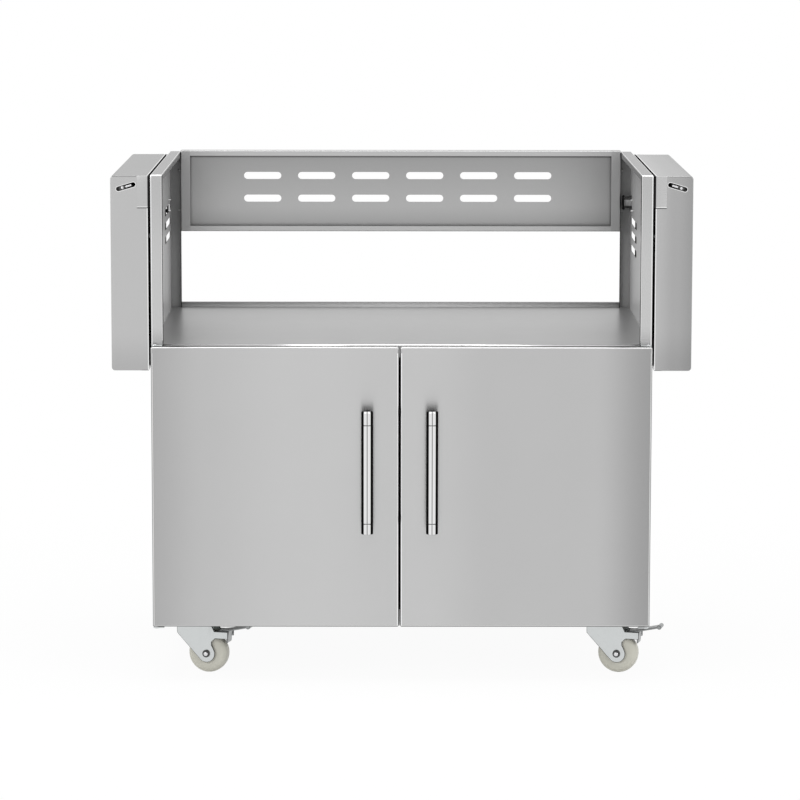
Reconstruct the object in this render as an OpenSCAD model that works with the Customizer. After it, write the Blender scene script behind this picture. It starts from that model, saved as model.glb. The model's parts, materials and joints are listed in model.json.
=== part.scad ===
// Grill cart of folded stainless sheet: an open bay for a built-in grill above a two-door
// cabinet, with a folding shelf on each side and four swivel casters.
// Millimetres. X is to the right, Y to the rear and Z up from the floor, and the origin is
// the bottom centre of the folded cart.

/* [Cart body] */
// Width across the two side panels
body_w = 914; // [860:1:960]
// Depth of the side panels from front to rear
body_d = 607; // [580:1:640]
// Height of the side panels' top above the floor
body_h = 934; // [915:1:955]
// Thickness of the stainless sheet
sheet_t = 1.2; // [1:0.1:1.5]
// Width of the folded flanges of the side panels
flange_w = 22; // [20:1:24]
// Width of the return lips
lip_w = 10; // [8:0.5:11]
// Height of the grill bay, from the deck to the side panels' top
bay_h = 309.5; // [300:0.5:320]
// Height of the folded apron at the front of the deck
apron_h = 24; // [20:1:28]
// Height of the upturned rear edge of the deck
upstand_h = 10; // [6:1:14]
// Height of the base channels under the cabinet floor
channel_h = 30; // [26:1:36]
// Depth of the base channels from front to rear
channel_d = 130; // [120:1:140]
// Thickness of the base channels
channel_t = 2; // [1.5:0.1:2.5]
// Depth of the front top rail from front to rear
rail_d = 20; // [18:1:24]

/* [Rear vent panel] */
// Height of the rear vent panel
vent_h = 160; // [150:1:168]
// How far the rear vent panel stands above the side panels
vent_rise = 3; // [1:0.5:5]
// Depth of the rear vent panel's folded tray
vent_d = 22; // [18:1:24]
// Width of the lips at the top and bottom of the tray
vent_lip = 10.5; // [8:0.5:12]
// Width of the lips at the two ends of the tray
vent_end_lip = 19; // [16:1:22]
// Slots in each row
slot_cols = 6; // [4:1:6]
// Length of a slot
slot_l = 74; // [60:1:84]
// Height of a slot
slot_h = 14; // [10:1:18]
// Spacing of the slots along a row
slot_pitch = 107; // [100:1:115]
// Spacing of the two rows
row_pitch = 45; // [38:1:50]
// How far the upper row lies below the panel's top
row_drop = 51; // [45:1:56]
// How far the slots lie to the left of the middle
slot_shift = 6; // [0:1:12]

/* [Side vents] */
// Length of a slot in a side panel
side_slot_l = 160; // [130:1:170]
// Height of a slot in a side panel
side_slot_h = 14; // [10:1:16]
// Slots in a side panel
side_slot_rows = 3; // [2:1:3]
// Spacing of the slots in a side panel
side_slot_pitch = 27; // [24:1:30]
// How far the left panel's upper slot lies below the top
left_vent_drop = 107; // [95:1:120]
// How far the right panel's upper slot lies below the top
right_vent_drop = 133; // [128:1:145]
// Distance from the panel's rear to the middle of its slots
side_vent_back = 107; // [102:1:127]
// Outer diameter of the gas line grommet
grommet_d = 28; // [24:1:30]
// How far the grommet stands into the bay
grommet_l = 18; // [12:1:22]
// Bore of the grommet
grommet_bore = 14; // [10:0.5:16]
// Diameter of the hole that the grommet's neck fills
grommet_neck_d = 20; // [18:0.5:22]
// How far the grommet lies below the side panel's top
grommet_drop = 98; // [94:1:105]
// Distance from the panel's rear to the grommet
grommet_back = 31; // [27:1:33]

/* [Doors] */
// Thickness of a door
door_t = 20; // [18:1:24]
// Gap between the doors and the cabinet's front
door_back_gap = 3; // [2.8:0.1:4]
// Gap between the two doors
door_gap = 3; // [2:0.5:5]
// How far that gap lies left of the cart's middle
door_shift = 3.5; // [0:0.5:6]
// How far the doors end above the cabinet's bottom
door_foot = 2; // [1.8:0.1:3]
// How far the doors end below the deck's top
door_head = 2.5; // [2.3:0.1:4]
// Distance of the pivot axis from the door's outer edge and from its back
pivot_edge = 6; // [5.8:0.1:6.4]
// Diameter of the pivot pins
pivot_d = 6; // [5:0.1:6.5]
// How far the pivot pins reach into the door
pivot_l = 12; // [8:1:16]
// Depth of the inner liner's folded edge
liner_d = 11; // [9:1:13]

/* [Handles] */
// Outer diameter of the handles
handle_d = 22; // [18:1:26]
// Length of a handle
handle_l = 225; // [180:1:260]
// Distance of the handle's axis from the door's face
handle_stand = 40; // [32:1:48]
// Distance of the handles from the middle of the cart
handle_x = 59; // [45:1:75]
// How far the handles' middle lies below the doors' top
handle_drop = 225; // [180:1:260]
// Wall of the handle tube
handle_wall = 1.5; // [1:0.1:2]
// Length of a handle's lower end cap
cap_l = 19; // [16:1:24]
// Length of a handle's upper end cap
top_cap_l = 24; // [16:1:28]
// Width of the groove between cap and tube
groove_w = 1; // [0.6:0.1:1.6]
// Length of the cap's spigot in the tube
spigot_l = 8; // [5:1:12]
// Diameter of the posts
post_d = 12; // [10:0.5:14]

/* [Side shelves] */
// Length of a folded shelf from top to bottom
shelf_l = 357; // [320:1:370]
// Thickness of a shelf
shelf_t = 68; // [66:1:70]
// Gap between a folded shelf and the side panel
shelf_gap = 5.5; // [5.3:0.1:7]
// How far the shelf's front lies behind the side panel's front
shelf_back = 12; // [10:1:20]
// How far the shelf's rear lies in front of the side panel's rear
shelf_rear = 46; // [40:1:60]
// How far a folded shelf's top lies below the side panel's top
shelf_drop = 2.5; // [0:0.5:5]
// Radius of the shelf's outer fold
shelf_r = 6; // [4:0.5:8]
// Distance of the hinge pin from the shelf's open side
hinge_in = 46; // [45.7:0.1:48]
// Diameter of the hinge pins
hinge_pin_d = 5; // [4:0.1:5.6]
// Width of the slot in the shelf's skirts
hinge_slot_w = 8.6; // [8.2:0.1:9.4]
// Thickness of the shelf brackets
bracket_t = 2.5; // [2:0.1:2.7]
// Width of a bracket's outer tab
tab_w = 25; // [22:0.5:33]
// Height of a bracket's outer tab
tab_h = 59; // [50:1:60]
// Width of the stiffener under the shelf's skin
stiffener_w = 60; // [40:1:90]
// Depth of the stiffener
stiffener_h = 12; // [8:1:16]
// Diameter of the rubber bumpers
bumper_d = 9; // [7:0.5:10]

/* [Casters] */
// Height of the casters from the floor to their top plates
caster_h = 101.5; // [99:0.5:104]
// Diameter of the wheels
wheel_d = 75; // [72:1:76]
// Width of the wheels' tread
wheel_w = 30; // [26:1:32]
// Radius of the wheels' round shoulders
wheel_shoulder = 11; // [8:0.5:13]
// Distance of the axle behind the swivel axis
trail = 25; // [22:1:28]
// Angle by which the casters are turned at rest
caster_yaw = -15; // [-20:1:0]
// Distance of the swivel axes from the cart's sides
caster_side = 75; // [72:1:84]
// Distance of the swivel axes from the cart's front and rear
caster_inset = 78; // [76:1:84]
// Width of the top plates
plate_w = 92; // [88:1:100]
// Depth of the top plates
plate_d = 70; // [66:1:80]
// Thickness of the top plates
plate_t = 3; // [2.5:0.1:3.2]
// Diameter of the kingpins
kingpin_d = 12; // [10:0.5:14]
// Diameter of the wheels' axles
axle_d = 8; // [7:0.5:9]
// Thickness of the forks' sheet
fork_t = 2.5; // [2:0.1:3]

/* [Hidden] */

$fn = 64;

steel = [0.74, 0.74, 0.75];
dark_steel = [0.5, 0.51, 0.52];
bright_steel = [0.86, 0.87, 0.88];
zinc = [0.78, 0.8, 0.83];
nylon = [0.8, 0.79, 0.72];
rubber = [0.08, 0.08, 0.08];
plastic = [0.2, 0.2, 0.21];

// Clearances shared by every piece
run_fit = 0.05;
seat_fit = 0.1;
part_gap = 0.3;
cut_over = 1;

// Main planes of the body
half_w = body_w / 2;
wall_in = half_w - sheet_t;
bay_half = half_w - flange_w;
lip_out = bay_half + sheet_t;
front_reach = door_back_gap + door_t + handle_stand + handle_d / 2;
y_front = (front_reach - body_d) / 2;
y_rear = y_front + body_d;
base_h = caster_h;
deck_h = body_h - bay_h;
floor_h = base_h + channel_h + sheet_t;
deck_under = deck_h - sheet_t;
apron_low = deck_h - apron_h;
vent_top = body_h + vent_rise;
vent_low = vent_top - vent_h;
grommet_rim_t = 2;

// Small screws that join the sheets
screw_d = 4;
screw_l = 7;
screw_head_d = 8;
screw_head_h = 2.2;
screw_hole_d = screw_d + 2 * seat_fit;
rear_screw_y = y_rear - sheet_t - part_gap - screw_head_d / 2;
back_screw_shares = [0.15, 0.5, 0.85];
vent_screw_shares = [0.25, 0.75];

// Doors
door_z0 = base_h + door_foot;
door_z1 = deck_h - door_head;
door_back = y_front - door_back_gap;
door_front = door_back - door_t;
door_edge = door_gap / 2;
pivot_x = half_w - pivot_edge;
pivot_y = door_back - pivot_edge;
pivot_hole_d = pivot_d + 2 * run_fit;
block_w = 14;
block_h = 12;
leaf_t = 2;
leaf_x0 = wall_in - part_gap;
leaf_x1 = lip_out + part_gap;
leaf_r = pivot_edge - part_gap;
leaf_leg = 18;
leaf_tail = 40;
pin_head_d = 9;
pin_head_h = 1.2;
collar_d = 11;
collar_h = door_foot - part_gap;

// Handles and their screws
handle_z = door_z1 - handle_drop;
handle_y = door_front - handle_stand;
post_in = cap_l / 2;
spigot_d = handle_d - 2 * handle_wall - 2 * seat_fit;
post_rise = handle_l / 2 - post_in;

// Catches
catch_x = 60;
catch_w = 46;
catch_h = 14;
catch_d = 18;
keeper_t = 2;
keeper_gap = 6;
strike_t = 0.8;
strike_w = 40;
strike_h = 16;

// Side shelves, drawn for the left one
shelf_x = half_w + shelf_gap;
shelf_top = body_h - shelf_drop;
shelf_y0 = y_front + shelf_back;
shelf_d = body_d - shelf_back - shelf_rear;
shelf_y1 = shelf_y0 + shelf_d;
hinge_down = shelf_t - hinge_in;
hinge_x = shelf_x + hinge_in;
hinge_z = shelf_top - hinge_down;
slot_out = [-7, -2];
slot_in = [20, 6];
bush_d = hinge_slot_w - 2 * seat_fit;
bush_flange_d = 12;
bush_flange_t = 1.5;
bush_bore_d = hinge_pin_d + 2 * run_fit;
hinge_head_d = 9;
hinge_head_t = 2;
arm_y = sheet_t + bush_flange_t + part_gap;
arm_r = 10;
arm_gap = 4;
arm_foot = 18;
hook_top = hinge_z - norm([hinge_in, hinge_down]) - arm_gap;
hook_low = hook_top - arm_foot;
web_top = 20;
web_foot = 24;
web_wide = 22;
web_screw_y = 13;
bracket_screw_shares = [0.3, 0.8];
tab_gap = 0.5;
stiffener_down = 150;
stiffener_inset = 40;
shelf_hem = 12;
bumper_inset = 60;

// Casters, drawn with their swivel axis on Z and trailing along X
wheel_r = wheel_d / 2;
race_t = 4;
race_r = 29;
fork_r = 34;
fork_top = base_h - plate_t - race_t - part_gap;
fork_under = fork_top - fork_t;
kingpin_head_d = 18;
kingpin_head_t = 3;
hub_gap = 1;
hub_r = 12;
hub_step = 1.5;
fork_in = wheel_w / 2 + hub_step + hub_gap;
fork_out = fork_in + fork_t;
boss_r = 16.5;
arm_end = 67;
arm_low = 66.5;
arm_high = 80;
arm_step = 41;
waist_x = 39.2;
waist_z = 46.6;
notch_x = 35.4;
notch_low = 54;
notch_high = 60;
notch_r = 7;
heel_x = 32;
heel_z = 75;
heel_l = norm([trail + heel_x, wheel_r - heel_z]);
shin_l = sqrt(heel_l * heel_l - boss_r * boss_r);
shin_turn = atan2(wheel_r - heel_z, trail + heel_x) - asin(boss_r / heel_l);
shin_x = shin_l * cos(shin_turn) - heel_x;
shin_z = shin_l * sin(shin_turn) + heel_z;
axle_head_d = 14;
axle_head_h = 5;
axle_nut_w = 13;
axle_nut_h = 6.5;
dish_r0 = 15;
dish_r1 = 26;
dish_t = 2;
brake_x = 48;
brake_z = 75;
brake_pin_d = 5;
brake_hub_r = 5.5;
brake_tip_x = 104;
brake_tip_z = 90;
brake_t = 3;
brake_w = 26;
brake_knob_d = 8;
hook_x = 62;
hook_z = 58;
hook_t = 2.5;
bolt_d = 8;
bolt_head_d = 16;
bolt_head_h = 3.5;
nut_w = 13;
nut_h = 6.5;
bolt_edge = 9;
bolt_over = 2;

// Swivel axes: front left, front right, rear left, rear right
caster_x = half_w - caster_side;
caster_places = [for (y = [y_front + caster_inset, y_rear - caster_inset])
    for (x = [-caster_x, caster_x]) [x, y, 0]];
bolt_places = [for (x = [-1, 1]) for (y = [-1, 1])
    [x * (plate_w / 2 - bolt_edge), y * (plate_d / 2 - bolt_edge), 0]];

// A block between two corners
module slab(a, b) {
    translate(a) cube(b - a);
}

// A flat shape drawn in X and Z, given a thickness along Y from its front plane
module along_y(y, t) {
    translate([0, y + t, 0]) rotate([90, 0, 0]) linear_extrude(t) children();
}

// A cylinder along X from one plane to another
module rod_x(x0, x1, y, z, d) {
    translate([min(x0, x1), y, z]) rotate([0, 90, 0]) cylinder(h = abs(x1 - x0), d = d);
}

// A cylinder along Y from one plane to another
module rod_y(x, y0, y1, z, d) {
    translate([x, max(y0, y1), z]) rotate([90, 0, 0]) cylinder(h = abs(y1 - y0), d = d);
}

// A round-ended slot in a flat shape
module slot_shape(l, h) {
    square([l - h, h], center = true);
    for (side = [-1, 1]) translate([side * (l - h) / 2, 0]) circle(d = h);
}

// A small screw along X with its head on the given side of a plane
module screw_x(x, y, z, side) {
    rod_x(x, x + side * screw_head_h, y, z, screw_head_d);
    rod_x(x - side * screw_l, x, y, z, screw_d);
}

// A side panel, drawn for the left
module side_panel(vent_drop) {
    vent_z = body_h - vent_drop;
    color(steel) difference() {
        union() {
            slab([-half_w, y_front, base_h], [-wall_in, y_rear, body_h]);
            for (y = [y_front, y_rear - sheet_t])
                slab([-half_w, y, base_h], [-bay_half, y + sheet_t, body_h]);
            for (y = [y_front, y_rear - lip_w])
                slab([-lip_out, y, base_h], [-bay_half, y + lip_w, body_h]);
            slab([-half_w, y_front, body_h - sheet_t], [-bay_half, y_rear, body_h]);
            slab([-lip_out, y_front, body_h - lip_w], [-bay_half, y_rear, body_h]);
        }
        for (row = [0 : side_slot_rows - 1])
            translate([-half_w - cut_over, y_rear - side_vent_back, vent_z - row * side_slot_pitch])
                rotate([90, 0, 90]) linear_extrude(sheet_t + 2 * cut_over)
                    slot_shape(side_slot_l, side_slot_h);
        slab([-leaf_x0 - seat_fit, y_front - cut_over, deck_h - leaf_t - seat_fit],
            [-leaf_x1 + seat_fit, y_front + sheet_t + cut_over, deck_h + seat_fit]);
        for (z = rear_screw_heights())
            rod_x(-lip_out - cut_over, -bay_half + cut_over, rear_screw_y, z, screw_hole_d);
        for (y = bracket_screw_ys()) for (z = bracket_screw_heights())
            rod_x(-half_w - cut_over, -wall_in + cut_over, y, z, screw_hole_d);
    }
}

// Heights of the screws through the rear lips
function rear_screw_heights() = concat(
    [for (s = back_screw_shares) base_h + s * (deck_under - base_h)],
    [for (s = vent_screw_shares) vent_low + s * vent_h]);

// Places of the screws that hold the shelf brackets
function bracket_screw_ys() = [shelf_y0 + web_screw_y, shelf_y1 - web_screw_y];
function bracket_screw_heights() = [for (s = bracket_screw_shares)
    hook_top - s * (arm_foot + web_foot)];

module left_side_panel() {
    side_panel(left_vent_drop);
}

module right_side_panel() {
    color(steel) difference() {
        mirror([1, 0, 0]) side_panel(right_vent_drop);
        rod_x(wall_in - cut_over, half_w + cut_over, y_rear - grommet_back,
            body_h - grommet_drop, grommet_neck_d + 2 * seat_fit);
    }
}

// The rear panel: a shallow tray that faces forward, with two rows of slots
module rear_vent_panel() {
    vent_y = y_rear - vent_d;
    color(steel) difference() {
        slab([-bay_half, vent_y, vent_low], [bay_half, y_rear, vent_top]);
        slab([-bay_half + sheet_t, vent_y + sheet_t, vent_low + sheet_t],
            [bay_half - sheet_t, y_rear - sheet_t, vent_top - sheet_t]);
        slab([-bay_half + vent_end_lip, vent_y - cut_over, vent_low + vent_lip],
            [bay_half - vent_end_lip, vent_y + sheet_t + cut_over, vent_top - vent_lip]);
        for (row = [0, 1]) for (col = [0 : slot_cols - 1])
            translate([(col - (slot_cols - 1) / 2) * slot_pitch - slot_shift, y_rear + cut_over,
                vent_top - row_drop - row * row_pitch])
                rotate([90, 0, 0]) linear_extrude(sheet_t + 2 * cut_over)
                    slot_shape(slot_l, slot_h);
        for (side = [-1, 1]) for (s = vent_screw_shares)
            rod_x(side * (bay_half - sheet_t - cut_over), side * (bay_half + cut_over),
                rear_screw_y, vent_low + s * vent_h, screw_hole_d);
    }
}

// The deck under the grill bay
module deck_pan() {
    color(steel) {
        slab([-wall_in, y_front + lip_w, deck_under], [wall_in, y_rear - lip_w, deck_h]);
        slab([-bay_half, y_front, deck_under], [bay_half, y_rear, deck_h]);
        slab([-bay_half, y_front, apron_low], [bay_half, y_front + sheet_t, deck_h]);
        slab([-bay_half, y_rear - sheet_t, deck_under], [bay_half, y_rear, deck_h + upstand_h]);
        for (side = [-1, 1]) {
            edge = side * wall_in;
            inner = edge - side * sheet_t;
            slab([min(edge, inner), y_front + lip_w, apron_low],
                [max(edge, inner), y_rear - lip_w, deck_h]);
        }
    }
}

// The cabinet's floor, folded down in front over the base channel
module cabinet_floor() {
    under = floor_h - sheet_t;
    color(steel) {
        slab([-wall_in, y_front + lip_w, under], [wall_in, y_rear - lip_w, floor_h]);
        slab([-bay_half, y_front, under], [bay_half, y_front + lip_w, floor_h]);
        slab([-bay_half, y_front, base_h], [bay_half, y_front + sheet_t, floor_h]);
        for (side = [-1, 1]) {
            edge = side * wall_in;
            inner = edge - side * sheet_t;
            slab([min(edge, inner), y_front + lip_w, under],
                [max(edge, inner), y_rear - lip_w, floor_h + lip_w]);
        }
    }
}

// The cabinet's back, with folded edges that lie on the side panels' rear lips
module cabinet_back() {
    color(steel) difference() {
        union() {
            slab([-bay_half, y_rear - sheet_t, base_h], [bay_half, y_rear, deck_under]);
            for (side = [-1, 1]) {
                edge = side * bay_half;
                inner = edge - side * sheet_t;
                slab([min(edge, inner), y_rear - lip_w, base_h],
                    [max(edge, inner), y_rear, deck_under]);
            }
        }
        for (side = [-1, 1]) for (z = rear_screw_heights())
            rod_x(side * (bay_half - sheet_t - cut_over), side * (bay_half + cut_over),
                rear_screw_y, z, screw_hole_d);
    }
}

// The rail behind the deck's apron, which carries the catches
module front_top_rail() {
    y0 = y_front + sheet_t;
    y1 = y0 + rail_d;
    color(steel) {
        slab([-bay_half, y0, apron_low], [bay_half, y0 + sheet_t, deck_under]);
        slab([-bay_half, y0, deck_under - sheet_t], [bay_half, y1, deck_under]);
        slab([-bay_half, y0, apron_low], [bay_half, y1, apron_low + sheet_t]);
    }
}

// A base channel, open upwards, drilled for two casters
module base_channel(y0, casters) {
    top = base_h + channel_h;
    color(steel) difference() {
        union() {
            slab([-wall_in, y0, base_h], [wall_in, y0 + channel_d, base_h + channel_t]);
            slab([-wall_in, y0, base_h], [wall_in, y0 + channel_t, top]);
            slab([-wall_in, y0 + channel_d - channel_t, base_h], [wall_in, y0 + channel_d, top]);
        }
        for (i = casters) translate(caster_places[i]) for (p = bolt_places)
            translate(p + [0, 0, base_h - cut_over])
                cylinder(h = channel_t + 2 * cut_over, d = bolt_d + 2 * seat_fit);
    }
}

module front_base_channel() {
    base_channel(y_front + lip_w, [0, 1]);
}

module rear_base_channel() {
    base_channel(y_rear - lip_w - channel_d, [2, 3]);
}

// The black grommet that guides the gas line through the right panel
module gas_line_grommet() {
    y = y_rear - grommet_back;
    z = body_h - grommet_drop;
    color(rubber) difference() {
        union() {
            rod_x(wall_in - grommet_l, wall_in, y, z, grommet_d);
            rod_x(wall_in - cut_over, half_w + cut_over, y, z, grommet_neck_d);
            rod_x(half_w, half_w + grommet_rim_t, y, z, grommet_d);
        }
        rod_x(wall_in - grommet_l - cut_over, half_w + grommet_rim_t + cut_over, y, z, grommet_bore);
    }
}

// A magnetic catch under the front top rail, drawn for the left
module magnetic_catch() {
    keeper_y = door_back + strike_t + part_gap;
    color(plastic) {
        slab([-catch_x - catch_w / 2, y_front, apron_low - catch_h],
            [-catch_x + catch_w / 2, y_front + catch_d, apron_low]);
        for (side = [-1, 1]) {
            z = apron_low - catch_h / 2 + side * keeper_gap / 2;
            slab([-catch_x - strike_w / 2, keeper_y, z - keeper_t / 2],
                [-catch_x + strike_w / 2, y_front, z + keeper_t / 2]);
        }
    }
}

module left_magnetic_catch() {
    magnetic_catch();
}

module right_magnetic_catch() {
    mirror([1, 0, 0]) magnetic_catch();
}

// The screws of the cabinet's back, the rear vent panel and the shelf brackets
module frame_screws() {
    color(dark_steel) for (side = [0, 1]) mirror([side, 0, 0]) {
        for (z = rear_screw_heights())
            screw_x(-bay_half + sheet_t, rear_screw_y, z, 1);
        for (y = bracket_screw_ys()) for (z = bracket_screw_heights())
            screw_x(-half_w - bracket_t, y, z, -1);
    }
}

// The bolts that hold the casters, each with its nut in the base channel
module caster_bolts() {
    low = base_h - plate_t;
    color(zinc) for (place = caster_places) translate(place) for (p = bolt_places) {
        translate(p + [0, 0, low - bolt_head_h]) cylinder(h = bolt_head_h, d = bolt_head_d);
        translate(p + [0, 0, low])
            cylinder(h = plate_t + channel_t + nut_h + bolt_over, d = bolt_d);
        translate(p + [0, 0, base_h + channel_t]) cylinder(h = nut_h, d = nut_w / cos(30), $fn = 6);
    }
}

// A shelf bracket, drawn for the front left: an outer tab before the shelf's skirt, a hooked
// arm behind the skirt that holds the pin, and a web on the side panel that joins them
module shelf_bracket() {
    web_x = -half_w - bracket_t;
    tab_y = shelf_y0 - tab_gap - bracket_t;
    inner_y = shelf_y0 + arm_y;
    web_low = hook_low - web_foot;
    stop_x = -hinge_x + hinge_down - sheet_t - part_gap;
    color(dark_steel) difference() {
        union() {
            slab([-half_w - tab_w, tab_y, shelf_top - tab_h], [-half_w, tab_y + bracket_t, shelf_top]);
            slab([web_x, tab_y, hook_top], [-half_w, inner_y + bracket_t, hinge_z - web_top]);
            slab([web_x, shelf_y0 + sheet_t, web_low],
                [-half_w, shelf_y0 + web_wide, hook_top]);
            slab([-hinge_x - arm_r, inner_y, hook_low], [-half_w, inner_y + bracket_t, hook_top]);
            slab([-hinge_x - arm_r, inner_y, hook_top],
                [-hinge_x + arm_r, inner_y + bracket_t, hinge_z]);
            slab([-hinge_x, inner_y, hook_top], [stop_x, inner_y + bracket_t, hook_top + arm_foot]);
            rod_y(-hinge_x, inner_y, inner_y + bracket_t, hinge_z, 2 * arm_r);
        }
        rod_y(-hinge_x, inner_y - cut_over, inner_y + bracket_t + cut_over, hinge_z,
            hinge_pin_d + 2 * run_fit);
        for (z = bracket_screw_heights())
            rod_x(-half_w - bracket_t - cut_over, -half_w + cut_over, shelf_y0 + web_screw_y, z,
                screw_hole_d);
    }
}

// Moves a front bracket's shape to the rear of the shelf
module to_rear() {
    translate([0, shelf_y0 + shelf_y1, 0]) mirror([0, 1, 0]) children();
}

module left_front_bracket() {
    shelf_bracket();
}

module left_rear_bracket() {
    to_rear() shelf_bracket();
}

module right_front_bracket() {
    mirror([1, 0, 0]) shelf_bracket();
}

module right_rear_bracket() {
    mirror([1, 0, 0]) to_rear() shelf_bracket();
}

// A hinge pin with its head behind the bracket's arm, drawn for the front left
module shelf_pin() {
    back = shelf_y0 + arm_y + bracket_t;
    rod_y(-hinge_x, shelf_y0, back, hinge_z, hinge_pin_d);
    rod_y(-hinge_x, back, back + hinge_head_t, hinge_z, hinge_head_d);
}

module shelf_pins() {
    color(bright_steel) for (side = [0, 1]) mirror([side, 0, 0]) {
        shelf_pin();
        to_rear() shelf_pin();
    }
}

// The two leaves that carry a door's pivot pins, drawn for the left
module hinge_plates() {
    color(dark_steel) difference() {
        union() {
            for (z = [deck_h - leaf_t, base_h - leaf_t])
                translate([-pivot_x, pivot_y, z]) cylinder(h = leaf_t, r = leaf_r);
            slab([-pivot_x, pivot_y - leaf_r, deck_h - leaf_t],
                [-leaf_x1, y_front + sheet_t + leaf_t, deck_h]);
            slab([-leaf_x0, pivot_y, deck_h - leaf_t],
                [-leaf_x1, y_front + sheet_t + leaf_t, deck_h]);
            slab([-leaf_x0, y_front + sheet_t, deck_h - leaf_leg],
                [-leaf_x1, y_front + sheet_t + leaf_t, deck_h]);
            slab([-pivot_x, pivot_y - leaf_r, base_h - leaf_t],
                [-leaf_x1, y_front + leaf_tail, base_h]);
            slab([-leaf_x0, pivot_y, base_h - leaf_t], [-leaf_x1, y_front + leaf_tail, base_h]);
        }
        translate([-pivot_x, pivot_y, base_h - leaf_t - cut_over])
            cylinder(h = deck_h - base_h + leaf_t + 2 * cut_over, d = pivot_hole_d);
    }
}

module left_hinge_plates() {
    hinge_plates();
}

module right_hinge_plates() {
    mirror([1, 0, 0]) hinge_plates();
}

// The four pivot pins: the lower ones have a collar on which the door stands
module door_hinge_pins() {
    color(bright_steel) for (side = [-1, 1]) translate([side * pivot_x, pivot_y, 0]) {
        translate([0, 0, door_z1 - pivot_l]) cylinder(h = pivot_l + door_head, d = pivot_d);
        translate([0, 0, deck_h]) cylinder(h = pin_head_h, d = pin_head_d);
        translate([0, 0, base_h - leaf_t])
            cylinder(h = leaf_t + door_foot + pivot_l, d = pivot_d);
        translate([0, 0, base_h - leaf_t - pin_head_h]) cylinder(h = pin_head_h, d = pin_head_d);
        translate([0, 0, base_h]) cylinder(h = collar_h, d = collar_d);
    }
}

// Cuts the bores for the pivot pins of the left door
module pivot_bores() {
    translate([-pivot_x, pivot_y, door_z0 - cut_over])
        cylinder(h = pivot_l + 2 * cut_over, d = pivot_hole_d);
    translate([-pivot_x, pivot_y, door_z1 - pivot_l - cut_over])
        cylinder(h = pivot_l + 2 * cut_over, d = pivot_hole_d);
}

// A door's outer skin: a folded tray that is open at its back, drawn for the left. Its inner
// edge and its handle lie farther from the cart's middle by the shift that is given
module door_skin(shift) {
    edge = door_edge + shift;
    color(steel) difference() {
        slab([-half_w, door_front, door_z0], [-edge, door_back, door_z1]);
        slab([-half_w + sheet_t, door_front + sheet_t, door_z0 + sheet_t],
            [-edge - sheet_t, door_back + cut_over, door_z1 - sheet_t]);
        pivot_bores();
        for (side = [-1, 1])
            rod_y(-handle_x - shift, door_front - cut_over, door_front + sheet_t + cut_over,
                handle_z + side * post_rise, screw_hole_d);
    }
}

// A door's inner liner, which closes the tray from behind
module door_liner(shift) {
    x0 = -half_w + sheet_t;
    x1 = -door_edge - shift - sheet_t;
    z0 = door_z0 + sheet_t;
    z1 = door_z1 - sheet_t;
    color(steel) difference() {
        slab([x0, door_back - liner_d, z0], [x1, door_back, z1]);
        slab([x0 + sheet_t, door_back - liner_d - cut_over, z0 + sheet_t],
            [x1 - sheet_t, door_back - sheet_t, z1 - sheet_t]);
        pivot_bores();
        for (side = [-1, 1])
            rod_y(-handle_x - shift, door_back - sheet_t - cut_over, door_back + cut_over,
                handle_z + side * post_rise, post_d);
    }
}

// The two blocks in a door that turn on its pivot pins
module pivot_blocks() {
    x0 = -half_w + 2 * sheet_t;
    y0 = door_front + sheet_t;
    y1 = door_back - sheet_t;
    z0 = door_z0 + 2 * sheet_t;
    z1 = door_z1 - 2 * sheet_t;
    color(nylon) difference() {
        union() {
            slab([x0, y0, z0], [x0 + block_w, y1, z0 + block_h]);
            slab([x0, y0, z1 - block_h], [x0 + block_w, y1, z1]);
        }
        pivot_bores();
    }
}

// The steel plate that meets the catch
module strike_plate() {
    z = apron_low - catch_h / 2;
    color(dark_steel)
        slab([-catch_x - strike_w / 2, door_back, z - strike_h / 2],
            [-catch_x + strike_w / 2, door_back + strike_t, z + strike_h / 2]);
}

// The middle tube of a handle
module handle_tube(shift) {
    tube_l = handle_l - cap_l - top_cap_l - 2 * groove_w;
    low_z = handle_z - handle_l / 2 + cap_l + groove_w;
    color(bright_steel) translate([-handle_x - shift, handle_y, low_z]) difference() {
        cylinder(h = tube_l, d = handle_d);
        translate([0, 0, -cut_over])
            cylinder(h = tube_l + 2 * cut_over, d = handle_d - 2 * handle_wall);
    }
}

// The two end caps of a handle, each with its spigot, its post and the post's screw
module handle_ends(shift) {
    x = -handle_x - shift;
    color(bright_steel) for (side = [-1, 1]) {
        end_l = side > 0 ? top_cap_l : cap_l;
        cap_z = handle_z + side * (handle_l / 2 - end_l);
        far_z = handle_z + side * handle_l / 2;
        spigot_z = cap_z - side * (groove_w + spigot_l);
        post_z = handle_z + side * post_rise;
        translate([x, handle_y, min(cap_z, far_z)]) cylinder(h = end_l, d = handle_d);
        translate([x, handle_y, min(spigot_z, cap_z)])
            cylinder(h = groove_w + spigot_l, d = spigot_d);
        rod_y(x, handle_y, door_front, post_z, post_d);
        rod_y(x, door_front, door_front + sheet_t, post_z, screw_d);
        rod_y(x, door_front + sheet_t, door_front + sheet_t + screw_head_h, post_z,
            screw_head_d);
    }
}

module left_door_skin() {
    door_skin(door_shift);
}

module left_door_liner() {
    door_liner(door_shift);
}

module left_pivot_blocks() {
    pivot_blocks();
}

module left_strike_plate() {
    strike_plate();
}

module left_handle_tube() {
    handle_tube(door_shift);
}

module left_handle_ends() {
    handle_ends(door_shift);
}

module right_door_skin() {
    mirror([1, 0, 0]) door_skin(-door_shift);
}

module right_door_liner() {
    mirror([1, 0, 0]) door_liner(-door_shift);
}

module right_pivot_blocks() {
    mirror([1, 0, 0]) pivot_blocks();
}

module right_strike_plate() {
    mirror([1, 0, 0]) strike_plate();
}

module right_handle_tube() {
    mirror([1, 0, 0]) handle_tube(-door_shift);
}

module right_handle_ends() {
    mirror([1, 0, 0]) handle_ends(-door_shift);
}

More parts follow.
